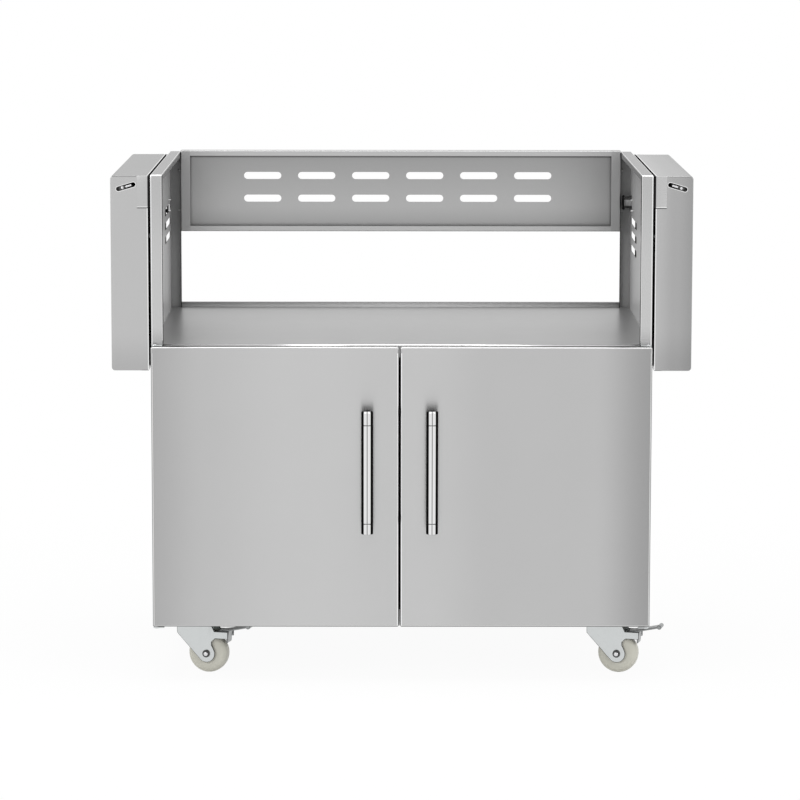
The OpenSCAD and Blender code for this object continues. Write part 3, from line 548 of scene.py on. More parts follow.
@dataclass(frozen=True)
class Slot:
    """A round-ended slot in a flat face, by its middle, length, width and slope.

    A slot with a rim has a bright ring of that width round its edge, a painted highlight.
    """

    u: float
    v: float
    length: float
    width: float
    slope: float = 0.0
    rim: float = 0.0
    steps: int = 8

    def outline(self, out: float = 0.0) -> list[Point]:
        """Returns the slot's edge, or a line a step out from it, anticlockwise."""
        run = (self.length - self.width) / 2
        r = self.width / 2 + out
        points = []
        for end, start in ((1, -90.0), (-1, 90.0)):
            for i in range(self.steps + 1):
                a = math.radians(start + 180.0 * i / self.steps)
                points.append((end * run + r * math.cos(a), r * math.sin(a)))
        c, s = math.cos(math.radians(self.slope)), math.sin(math.radians(self.slope))
        return [(self.u + c * p - s * q, self.v + s * p + c * q) for p, q in points]

    def cell(self) -> Box:
        """Returns the box round the slot, with its border."""
        us, vs = zip(*self.outline())
        return (min(us) - CELL_BORDER, min(vs) - CELL_BORDER,
                max(us) + CELL_BORDER, max(vs) + CELL_BORDER)


def cell_lines(slots: Sequence[Slot]) -> tuple[list[float], list[float]]:
    """Returns the lines of the cells round some slots, along u and along v."""
    cells = [slot.cell() for slot in slots]
    return [c[i] for c in cells for i in (0, 2)], [c[i] for c in cells for i in (1, 3)]


class FoldedSheet:
    """A thin sheet that is made as its outer surface, folded and then given its thickness."""

    def __init__(self) -> None:
        """Starts with no faces."""
        self.mesh = bmesh.new()

    def _face(self, spots: Sequence[Vector], out: Vector, material: int = OUTSIDE) -> None:
        """Adds one face that looks the given way, in one of the sheet's materials."""
        turn = sum((a.cross(b) for a, b in zip(spots, [*spots[1:], spots[0]])), Vector())
        ordered = spots if turn.dot(out) > 0 else list(reversed(spots))
        face = self.mesh.faces.new([self.mesh.verts.new(p) for p in ordered])
        face.material_index = material

    def grid(
        self,
        plane: Axis,
        level: float,
        us: Iterable[float],
        vs: Iterable[float],
        out: int,
        slots: Sequence[Slot] = (),
        hole: Box | None = None,
    ) -> None:
        """Adds a flat face in cells, with slots and an open rectangle.

        Args:
            plane: The plane's axis.
            level: Its place on that axis.
            us: The cell lines along the first axis.
            vs: The cell lines along the second axis.
            out: 1 or -1, the side of the plane that is the outer one.
            slots: The slots in it, each in a cell of its own.
            hole: The open rectangle by its low and high corner.
        """
        more_us, more_vs = cell_lines(slots)
        lines_u, lines_v = sorted({*us, *more_us}), sorted({*vs, *more_vs})
        normal = Vector([out if axis is plane else 0 for axis in Axis])
        for u0, u1 in zip(lines_u, lines_u[1:]):
            for v0, v1 in zip(lines_v, lines_v[1:]):
                mid = ((u0 + u1) / 2, (v0 + v1) / 2)
                if hole is not None and self._inside(hole, mid):
                    continue
                corners = [(u0, v0), (u1, v0), (u1, v1), (u0, v1)]
                found = [slot for slot in slots if self._inside(slot.cell(), mid)]
                if found:
                    self._ring(plane, level, corners, found[0], normal)
                else:
                    self._face([on_plane(plane, level, *c) for c in corners], normal)

    @staticmethod
    def _inside(box: Box, point: Point) -> bool:
        """Tells whether a point lies in a box."""
        return box[0] < point[0] < box[2] and box[1] < point[1] < box[3]

    def _ring(self, plane: Axis, level: float, corners: list[Point], slot: Slot,
              normal: Vector) -> None:
        """Fills a cell round a slot with faces from the slot's edge to the cell's corners."""
        edge, cut = slot.outline(slot.rim), slot.outline()
        nearest = [min(range(4), key=lambda k: (corners[k][0] - p) ** 2 + (corners[k][1] - q) ** 2)
                   for p, q in edge]
        count = len(edge)
        for i in range(count):
            j = (i + 1) % count
            spots = [edge[i], edge[j], corners[nearest[j]]]
            if nearest[i] != nearest[j]:
                spots.append(corners[nearest[i]])
            self._face([on_plane(plane, level, *p) for p in spots], normal)
            # The rim is a ring of painted highlight
            if slot.rim:
                spots = [cut[i], cut[j], edge[j], edge[i]]
                self._face([on_plane(plane, level, *p) for p in spots], normal, PAINTED_HIGHLIGHT)

    def box(self, lines: dict[Axis, Sequence[float]], without: Sequence[Face] = (),
            slots: dict[Face, Sequence[Slot]] | None = None,
            holes: dict[Face, Box] | None = None) -> None:
        """Adds the faces of a box and joins them.

        Args:
            lines: The cell lines along each axis, with the box's two sides among them.
            without: The faces that stay open.
            slots: The slots in a face.
            holes: The open rectangle in a face.
        """
        for plane in Axis:
            us, vs = (lines[axis] for axis in Axis if axis is not plane)
            for out, level in ((-1, min(lines[plane])), (1, max(lines[plane]))):
                if (plane, out) not in without:
                    self.grid(plane, level, us, vs, out, (slots or {}).get((plane, out), ()),
                              (holes or {}).get((plane, out)))
        self.merge()

    def merge(self) -> None:
        """Joins faces that meet."""
        bmesh.ops.remove_doubles(self.mesh, verts=self.mesh.verts[:], dist=SHEET_WELD * MM)

    def fold(self, radius: float, segments: int = 4,
             where: Callable[[Vector], bool] | None = None, bright: bool = True) -> None:
        """Rounds the sheet's folds.

        Args:
            radius: The outer radius of a fold.
            segments: The strips in a fold.
            where: Tells from an edge's middle in metres whether it is rounded.
            bright: Whether the fold gets the painted highlight of the sheet's folds.
        """
        edges = []
        for edge in self.mesh.edges:
            if len(edge.link_faces) != 2 or edge.calc_face_angle(0.0) < math.radians(FOLD_ANGLE):
                continue
            if where is None or where((edge.verts[0].co + edge.verts[1].co) / 2):
                edges.append(edge)
        made = bmesh.ops.bevel(self.mesh, geom=edges, offset=radius * MM, offset_type="OFFSET",
                               segments=segments, profile=0.5, affect="EDGES",
                               clamp_overlap=True, material=-1)
        for face in made["faces"]:
            face.smooth = True
            face.material_index = PAINTED_HIGHLIGHT if bright else OUTSIDE

    def dress(self, node: str, body: str, finish: Finish, inner: Finish | None = None,
              fold: Finish = Finishes.FOLD) -> None:
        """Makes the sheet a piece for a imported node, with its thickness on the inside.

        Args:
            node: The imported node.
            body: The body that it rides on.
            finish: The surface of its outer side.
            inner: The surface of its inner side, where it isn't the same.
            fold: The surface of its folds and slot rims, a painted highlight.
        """
        inside = inner or finish
        piece = publish(node + "_shell", self.mesh, body,
                        [finish, inside, fold, inside, Finishes.CUT], [node])
        thick = piece.modifiers.new("thickness", "SOLIDIFY")
        thick.thickness = CART.sheet * MM
        thick.offset = -1.0
        thick.use_even_offset = True
        thick.material_offset = STEP_INSIDE
        thick.material_offset_rim = STEP_CUT


def lathe(profile: Sequence[Point], frame: Matrix, steps: int = 48) -> bmesh.types.BMesh:
    """Turns a profile about an axis.

    Args:
        profile: Pairs of radius and height in millimetres, from one end to the other.
        frame: What takes the lathe's own axes, with its axis on Z, to the model's frame.
        steps: The number of steps in a full turn.

    Returns:
        The turned mesh.
    """
    mesh = bmesh.new()
    spots = [mesh.verts.new(at(r, 0.0, h)) for r, h in profile]
    lines = [mesh.edges.new(pair) for pair in zip(spots, spots[1:])]
    bmesh.ops.spin(mesh, geom=spots + lines, axis=(0, 0, 1), cent=(0, 0, 0), steps=steps,
                   angle=math.tau, use_merge=True)
    bmesh.ops.remove_doubles(mesh, verts=mesh.verts[:], dist=LATHE_WELD * MM)
    bmesh.ops.recalc_face_normals(mesh, faces=mesh.faces[:])
    for face in mesh.faces:
        face.smooth = True
    mesh.transform(frame)
    return mesh


def arc(middle: Point, radius: float, start: float, end: float, steps: int = 6) -> list[Point]:
    """Returns points on an arc of a profile, by angles in degrees from the radius axis."""
    turns = [math.radians(start + (end - start) * i / steps) for i in range(steps + 1)]
    return [(middle[0] + radius * math.cos(a), middle[1] + radius * math.sin(a)) for a in turns]


def join(parts: Sequence[bmesh.types.BMesh]) -> bmesh.types.BMesh:
    """Puts several meshes into one."""
    whole = bmesh.new()
    for part in parts:
        holder = bpy.data.meshes.new("holder")
        part.to_mesh(holder)
        part.free()
        whole.from_mesh(holder)
        bpy.data.meshes.remove(holder)
    return whole


def put(name: str, data: bpy.types.ID) -> bpy.types.Object:
    """Puts a mesh, lamp or camera into the scene."""
    made = bpy.data.objects.new(name, data)
    bpy.context.scene.collection.objects.link(made)
    return made


def publish(name: str, mesh: bmesh.types.BMesh, body: str, finishes: Sequence[Finish],
            replaced: Sequence[str] = ()) -> bpy.types.Object:
    """Makes a finished mesh a piece of the cart.

    Args:
        name: The piece's name.
        mesh: Its mesh, which is used up.
        body: The body that it rides on.
        finishes: Its surfaces, in the order of its faces' material numbers.
        replaced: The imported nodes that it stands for.

    Returns:
        The piece.
    """
    data = bpy.data.meshes.new(name)
    mesh.to_mesh(data)
    mesh.free()
    for finish in finishes:
        data.materials.append(finish.material())
    data.use_auto_texspace = False
    data.texspace_location = GLOSS_MIDDLE
    data.texspace_size = (1.0, 1.0, 1.0)
    piece = put(name, data)
    if replaced:
        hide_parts(*replaced)
    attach(piece, body)
    LOG.info("%s on %s: %d faces", name, body, len(data.polygons))
    return piece


def turned(name: str, parts: Sequence[bmesh.types.BMesh], body: str, finish: Finish,
           replaced: Sequence[str] = ()) -> None:
    """Makes shapes from the lathe one piece, with a hard line wherever their surface breaks.

    Args:
        name: The piece's name.
        parts: Its shapes, which are used up.
        body: The body that it rides on.
        finish: Its surface.
        replaced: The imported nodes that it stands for.
    """
    piece = publish(name, join(parts), body, [finish], replaced)
    piece.data.set_sharp_from_angle(angle=math.radians(LINE_ANGLE))


def carried(frame: dict, node: str, body: str, finish: Finish, soften: float = 0.4,
            segments: int = 2, rim: Finish | None = None,
            thin: Callable[[Vector], bool] | None = None) -> None:
    """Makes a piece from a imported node's own shape, with its sharp edges softened.

    Args:
        node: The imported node.
        body: The body that it rides on.
        finish: Its surface.
        soften: The width of the bevel.
        segments: The strips in the bevel.
        rim: The surface of the bevel, where it isn't the same.
        thin: Tells from a face's normal whether it is a thin side that has the rim's surface.
    """
    mesh = bmesh.new()
    mesh.from_mesh(frame["nodes"][node].data)
    bmesh.ops.remove_doubles(mesh, verts=mesh.verts[:], dist=NODE_WELD * MM)
    bmesh.ops.dissolve_limit(mesh, angle_limit=math.radians(FLAT_ANGLE), verts=mesh.verts[:],
                             edges=mesh.edges[:])
    for face in mesh.faces:
        face.smooth = face.calc_area() < BROAD
        if thin is not None and thin(face.normal):
            face.material_index = RIM
    piece = publish(node + "_skin", mesh, body, [finish, rim] if rim else [finish], [node])
    edge = piece.modifiers.new("soft_edges", "BEVEL")
    edge.width = soften * MM
    edge.segments = segments
    edge.limit_method = "ANGLE"
    edge.angle_limit = math.radians(SHARP_ANGLE)
    edge.harden_normals = True
    if rim is not None:
        edge.use_clamp_overlap = False
        edge.material = RIM


# The pieces of the cart


@dataclass(frozen=True)
class SidePanel:
    """A side panel: a wall with flanges in front, behind and on top, each with a lip."""

    side: Side
    vent_drop: float
    slot_back: float = 500.0
    slot_length: float = 160.0
    slot_width: float = 14.0
    slot_pitch: float = 27.0
    slot_rows: int = 3

    def slots(self) -> list[Slot]:
        """Returns the ventilation slots in the wall."""
        back, top = CART.y_front + self.slot_back, CART.body_h - self.vent_drop
        return [Slot(back, top - row * self.slot_pitch, self.slot_length, self.slot_width)
                for row in range(self.slot_rows)]

    def build(self) -> None:
        """Makes the panel in one folded sheet."""
        c, hand = CART, self.side.value
        wall, edge = hand * c.half_w, hand * c.bay_half
        slots = self.slots()
        cell_ys, cell_zs = cell_lines(slots)
        front, rear, top = c.y_front + c.lip, c.y_rear - c.lip, c.body_h - c.lip
        sheet = FoldedSheet()
        sheet.box({X: [wall, edge], Y: [c.y_front, front, rear, c.y_rear, *cell_ys],
                   Z: [c.base_h, top, c.body_h, *cell_zs]},
                  without=[(Z, -1)], slots={(X, hand): slots},
                  holes={(X, -hand): (front, c.base_h, rear, top)})
        sheet.fold(c.fold)
        sheet.dress(f"{self.side.word}_side_panel", "cart", Finishes.PANEL,
                    Finishes.PANEL_INNER, Finishes.PANEL_FOLD)


@dataclass(frozen=True)
class RearVentPanel:
    """The shallow tray with two rows of slots that closes the bay's rear above its gap."""

    depth: float = 22.0
    lip: float = 10.5
    end_lip: float = 19.0
    columns: int = 6
    rows: int = 2
    slot_length: float = 74.0
    slot_width: float = 14.0
    pitch: float = 107.0
    row_pitch: float = 45.0
    row_drop: float = 51.0
    shift: float = 6.0

    def slots(self) -> list[Slot]:
        """Returns the slots, whose rows lie a little left of the middle."""
        start = -(self.columns - 1) / 2 * self.pitch - self.shift
        return [Slot(start + column * self.pitch,
                     CART.vent_top - self.row_drop - row * self.row_pitch,
                     self.slot_length, self.slot_width)
                for row in range(self.rows) for column in range(self.columns)]

    def build(self) -> None:
        """Makes the tray with its lips and slots."""
        half, top, low = CART.bay_half, CART.vent_top, CART.vent_low
        front = CART.y_rear - self.depth
        inner = half - self.end_lip
        slots = self.slots()
        cell_xs, cell_zs = cell_lines(slots)
        lip_low, lip_top = low + self.lip, top - self.lip
        sheet = FoldedSheet()
        sheet.box({X: [-half, -inner, inner, half, *cell_xs], Y: [front, CART.y_rear],
                   Z: [low, lip_low, lip_top, top, *cell_zs]},
                  slots={(Y, 1): slots}, holes={(Y, -1): (-inner, lip_low, inner, lip_top)})
        sheet.fold(CART.fold, bright=False)
        sheet.dress("rear_vent_panel", "cart", Finishes.VENT, Finishes.VENT_WEB)


@dataclass(frozen=True)
class DeckPan:
    """The deck under the bay, folded down in front and at its sides and up at its rear."""

    apron: float = 24.0
    upstand: float = 10.0
    rise_fold: float = 8.5
    rise_steps: int = 6

    def build(self) -> None:
        """Makes the deck in one folded sheet."""
        c = CART
        wall = c.half_w - c.sheet
        low = c.deck_h - self.apron
        rear = c.y_rear - c.sheet
        inner = [c.y_front + c.lip, c.y_rear - c.lip]
        middle = [-c.bay_half, c.bay_half]
        sheet = FoldedSheet()
        sheet.grid(Z, c.deck_h, [-wall, *middle, wall], inner, 1)
        sheet.grid(Z, c.deck_h, middle, [c.y_front, inner[0]], 1)
        sheet.grid(Z, c.deck_h, middle, [inner[1], rear], 1)
        sheet.grid(Y, c.y_front, middle, [low, c.deck_h], -1)
        sheet.grid(Y, rear, middle, [c.deck_h, c.deck_h + self.upstand], -1)
        for hand in (-1, 1):
            sheet.grid(X, hand * wall, inner, [low, c.deck_h], hand)
        sheet.merge()
        sheet.fold(self.rise_fold, self.rise_steps,
                   lambda p: near(p.y, rear) and near(p.z, c.deck_h), bright=False)
        sheet.fold(c.fold)
        sheet.dress("deck_pan", "cart", Finishes.DECK)


@dataclass(frozen=True)
class Door:
    """A cabinet door: a folded skin, its liner and fittings, and a round upright handle."""

    side: Side
    thickness: float = 20.0
    back_gap: float = 3.0
    middle_gap: float = 3.0
    shift: float = 3.5
    foot: float = 2.0
    head: float = 2.5
    fold: float = 2.8
    handle_d: float = 22.0
    handle_length: float = 225.0
    handle_stand: float = 40.0
    handle_x: float = 59.0
    handle_drop: float = 225.0
    cap: float = 19.0
    top_cap: float = 24.0
    cap_round: float = 1.5
    groove: float = 1.0
    groove_depth: float = 1.4
    groove_edge: float = 0.3
    post_d: float = 12.0
    post_short: float = 4.0
    post_edge: float = 0.4

    @property
    def body(self) -> str:
        """The body that the door's pieces ride on."""
        return f"{self.side.word}_door"

    @property
    def away(self) -> float:
        """How much farther from the cart's middle this door's inner edge lies."""
        return self.shift if self.side is Side.LEFT else -self.shift

    @property
    def inner_x(self) -> float:
        """Where the edge at the gap between the doors lies."""
        return self.side.value * (self.middle_gap / 2 + self.away)

    @property
    def back(self) -> float:
        """Where the door's rear lies."""
        return CART.y_front - self.back_gap

    @property
    def front(self) -> float:
        """Where the door's front lies."""
        return self.back - self.thickness

    @property
    def low(self) -> float:
        """The height of the door's lower edge."""
        return CART.base_h + self.foot

    @property
    def top(self) -> float:
        """The height of the door's upper edge."""
        return CART.deck_h - self.head

    def steel(self) -> Finish:
        """Returns the skin's surface. Each door has its own tone and soft shadows, painted in."""
        hand, gap = self.side.value, self.inner_x
        if self.side is Side.LEFT:
            tone = 0.56
            shadows = (Fade(X, -200.0, -400.0, 0.1), Fade(X, -360.0, -470.0, 0.17),
                       Fade(X, -150.0, -5.0, 0.03))
        else:
            tone = 0.55
            shadows = (Fade(X, 40.0, 170.0, 0.08), Fade(X, 350.0, 460.0, 0.32))
        # Painted shade: dark at the middle gap, under the deck's edge and on the sides behind the
        # fold
        edges = (Fade(X, gap + hand * 0.4, gap + hand * 0.1, 0.97),
                 Fade(Z, self.top - 1.5, self.top - 0.5, 0.52),
                 Fade(Y, self.back - 3.0, self.back - 1.3, 0.85))
        return Finishes.SHEET.like(f"{self.body}_steel", colour=grey(tone), uneven=0.02,
                                   streak=0.012, anisotropy=0.75, bump=0.006,
                                   fades=shadows + edges)

    def folded_steel(self) -> Finish:
        """Returns the surface of the skin's folds, a painted highlight with painted shade at the
        gap, the outer edge, the top and below.
        """
        hand, gap = self.side.value, self.inner_x
        outer = CART.half_w
        return Finishes.FOLD.like(f"{self.body}_fold", fades=(
            Fade(X, gap + hand * 1.2, gap + hand * 0.8, 0.98),
            Fade(X, hand * (outer - 2.5), hand * (outer - 1.5), 0.6),
            Fade(Z, self.top - 12.0, self.top - 10.0, 1.0, 0.5),
            Fade(Z, self.low + 2.9, self.low + 1.7, 0.75)))

    def skin(self) -> None:
        """Makes the outer skin, a tray that is open at its back."""
        sheet = FoldedSheet()
        sheet.box({X: [self.side.value * CART.half_w, self.inner_x],
                   Y: [self.front, self.back], Z: [self.low, self.top]}, without=[(Y, 1)])
        sheet.fold(self.fold)
        sheet.dress(f"{self.body}_skin", self.body, self.steel(), Finishes.SHELF_INNER,
                    self.folded_steel())

    def handle(self) -> None:
        """Makes the handle's tube with its two grooved caps, and the posts that hold it."""
        word, half = self.side.word, self.handle_length / 2
        middle = self.top - self.handle_drop
        axis_y = self.front - self.handle_stand
        across = self.side.value * (self.handle_x + self.away)
        profile = [(r, -h) for r, h in reversed(self._end(half, self.cap))][:-1]
        profile += self._end(half, self.top_cap)
        parts = [lathe(profile, Matrix.Translation(at(across, axis_y, middle)), steps=72)]
        foot_r, edge = self.post_d / 2, self.post_edge
        post = [(0.0, 0.0), (foot_r - edge, 0.0), (foot_r, edge),
                (foot_r, self.handle_stand - self.post_short)]
        for end in (-1, 1):
            spot = at(across, self.front, middle + end * (half - self.cap / 2))
            parts.append(lathe(post, Matrix.Translation(spot)
                               @ Matrix.Rotation(math.pi / 2, 4, "X")))
        grooves = (middle + half - self.top_cap - self.groove / 2,
                   middle - half + self.cap + self.groove / 2)
        # The tube's dark bands are painted reflections, with painted shade at its back and in its
        # grooves
        finish = Finishes.TUBE.like(f"{word}_polished_tube", stripes=Stripes(
            across, axis_y, grooves, self.handle_d / 2))
        turned(f"{word}_handle", parts, self.body, finish,
               [f"{word}_handle_tube", f"{word}_handle_ends"])

    def _end(self, half: float, cap: float) -> list[Point]:
        """Returns the profile of one half of the tube, with the groove before its cap."""
        r, cut, soft, corner = self.handle_d / 2, half - cap, self.groove_edge, self.cap_round
        start, floor = cut - self.groove, r - self.groove_depth
        return [(r, 0.0), (r, start - soft), (r - soft, start), (floor, start), (floor, cut),
                (r - soft, cut), (r, cut + soft),
                *arc((r - corner, half - corner), corner, 0, 90), (0.0, half)]

    def build(self, frame: dict) -> None:
        """Makes all the door's pieces."""
        self.skin()
        self.handle()
        word = self.side.word
        carried(frame, f"{word}_door_liner", self.body, Finishes.INNER)
        carried(frame, f"{word}_pivot_blocks", self.body, Finishes.PLASTIC)
        carried(frame, f"{word}_strike_plate", self.body, Finishes.ZINC, 0.2)


@dataclass(frozen=True)
class Shelf:
    """A side shelf, hanging folded: a deep pan with its open side to the wall."""

    side: Side
    gap: float = 5.5
    depth: float = 68.0
    back: float = 12.0
    length: float = 549.0
    drop: float = 2.5
    height: float = 357.0
    outer_fold: float = 6.0
    outer_steps: int = 6
    fold: float = 1.2
    hem: float = 12.0
    hinge_in: float = 46.0
    slot_in: float = 6.5
    slot_rise: float = 2.0
    slot_run: float = 27.0
    slot_climb: float = 8.0
    slot_width: float = 8.6
    # The width of the painted highlight round each slot
    slot_rim: float = 1.0
    spring_r: float = 1.9
    spring_length: float = 11.0
    spring_shift: float = 0.5
    spring_low: float = 0.2
    spring_flat: float = 0.28
    wire_r: float = 0.3
    coils: int = 6
    coil_steps: int = 4

    @property
    def body(self) -> str:
        """The body that the shelf's pieces ride on."""
        return f"{self.side.word}_shelf"

    @property
    def inner_x(self) -> float:
        """Where the open side lies."""
        return self.side.value * (CART.half_w + self.gap)

    @property
    def top(self) -> float:
        """The height of the shelf's upper side."""
        return CART.body_h - self.drop

    @property
    def ends(self) -> list[float]:
        """Where the front and rear skirts lie."""
        front = CART.y_front + self.back
        return [front, front + self.length]

    def steel(self) -> Finish:
        """Returns the pan's surface. Each shelf has its own tone and soft shadows, painted in,
        with painted shade on its top edge and a painted highlight on its inner edge.
        """
        hand, inner = self.side.value, self.inner_x
        if self.side is Side.LEFT:
            tone, top_share = 0.515, 0.54
            shadows = (Fade(Z, 650.0, 570.0, 0.15),)
        else:
            tone, top_share = 0.49, 0.28
            shadows = (Fade(Z, 660.0, 580.0, 0.14), Fade(X, 462.0, 500.0, 0.17),
                       Fade(X, 500.0, 535.0, 0.16))
        return Finishes.SHEET.like(
            f"{self.body}_steel", colour=grey(tone), uneven=0.03, streak=0.015, bump=0.008,
            fades=(Fade(Z, self.top - 3.0, self.top - 0.5, top_share), *shadows,
                   Fade(X, inner + hand * 2.0, inner + hand * 1.3, 0.8, 1.0)))

    def slot(self) -> Slot:
        """Returns the slanted slot in a skirt, drawn in X and Z."""
        hand = self.side.value
        pin_x = self.inner_x + hand * self.hinge_in
        pin_z = self.top - (self.depth - self.hinge_in)
        slope = math.degrees(math.atan2(self.slot_climb, self.slot_run))
        return Slot(pin_x - hand * self.slot_in, pin_z + self.slot_rise,
                    math.hypot(self.slot_run, self.slot_climb) + self.slot_width,
                    self.slot_width, -hand * slope, self.slot_rim)

    def pan(self) -> None:
        """Makes the pan with its slots, its wide outer folds and its hem."""
        hand, x_in, top, ys = self.side.value, self.inner_x, self.top, self.ends
        x_out = x_in + hand * self.depth
        low = top - self.height
        slot = self.slot()
        cell_xs, cell_zs = cell_lines([slot])
        sheet = FoldedSheet()
        sheet.box({X: [x_in, x_out, *cell_xs], Y: ys, Z: [low, low + self.hem, top, *cell_zs]},
                  slots={(Y, -1): [slot], (Y, 1): [slot]},
                  holes={(X, -hand): (ys[0], low + self.hem, ys[1], top)})
        sheet.fold(self.outer_fold, self.outer_steps,
                   lambda p: near(p.x, x_out) and not any(near(p.y, y, 1.0) for y in ys),
                   bright=False)
        sheet.fold(self.fold, where=lambda p: not near(p.x, x_in, 0.5), bright=False)
        sheet.dress(f"{self.body}_pan", self.body, self.steel(), Finishes.SHELF_INNER)

    def springs(self) -> None:
        """Makes the small flat spring that shows in each slot beside its bush."""
        hand, slot = self.side.value, self.slot()
        count = self.coils * self.coil_steps
        profile = [(0.0, 0.0)]
        for i in range(count + 1):
            swell = 1.0 + math.cos(i * math.tau / self.coil_steps)
            profile.append((self.spring_r - self.wire_r * swell, self.spring_length * i / count))
        profile.append((0.0, self.spring_length))
        lean = Matrix.Rotation(math.radians(-hand * (90.0 - abs(slot.slope))), 4, "Y")
        flat = Matrix.Diagonal((1.0, self.spring_flat, 1.0, 1.0))
        inset = CART.sheet / 2
        parts = []
        for y in (self.ends[0] + inset, self.ends[1] - inset):
            start = at(slot.u + hand * self.spring_shift, y, slot.v - self.spring_low)
            parts.append(lathe(profile, Matrix.Translation(start) @ flat @ lean, steps=20))
        turned(f"{self.body}_slot_springs", parts, self.body, Finishes.SCREW)

    def build(self, frame: dict) -> None:
        """Makes all the shelf's pieces."""
        self.pan()
        self.springs()
        carried(frame, f"{self.body}_stiffener", self.body, Finishes.SHELF_INNER, 0.3)
        carried(frame, f"{self.body}_bushes", self.body, Finishes.PLASTIC, 0.3)
        carried(frame, f"{self.body}_bumpers", self.body, Finishes.RUBBER, 0.6)


@dataclass(frozen=True)
class GasLineGrommet:
    """The black bushing that leads the gas line through the right side panel."""

    outer_r: float = 14.0
    bore_r: float = 7.0
    length: float = 18.0
    neck_r: float = 10.0
    rim: float = 2.0
    back: float = 576.0
    collar: float = 6.0
    end_collar: float = 5.0
    waist_in: float = 2.2
    edge: float = 0.5
    soft_in: float = 0.4
    soft_run: float = 1.0
    mouth: float = 0.6

    def build(self) -> None:
        """Makes the bushing on the lathe, with a collar at each end."""
        sheet = CART.sheet
        spot = Matrix.Translation(at(CART.half_w - sheet, CART.y_front + self.back,
                                     CART.body_h - CART.grommet_drop))
        turn = Matrix.Rotation(-math.pi / 2, 4, "Y")
        r, length, bore, edge = self.outer_r, self.length, self.bore_r, self.edge
        outside, waist = -(sheet + self.rim), r - self.waist_in
        shoulder, run = r - self.soft_in, self.soft_run
        end = length - self.end_collar
        profile = [(bore, outside), (r - edge, outside), (r, outside + edge), (r, -sheet),
                   (self.neck_r, -sheet), (self.neck_r, 0.0), (r - edge, 0.0), (r, edge),
                   (r, self.collar - run), (shoulder, self.collar - self.mouth),
                   (waist, self.collar), (waist, end), (shoulder, end + self.mouth),
                   (r, end + run), (r, length - run), (r - run, length),
                   (bore + self.mouth, length), (bore, length - self.mouth), (bore, outside)]
        turned("gas_line_bushing", [lathe(profile, spot @ turn, steps=56)], "cart",
               Finishes.GROMMET, ["gas_line_grommet"])


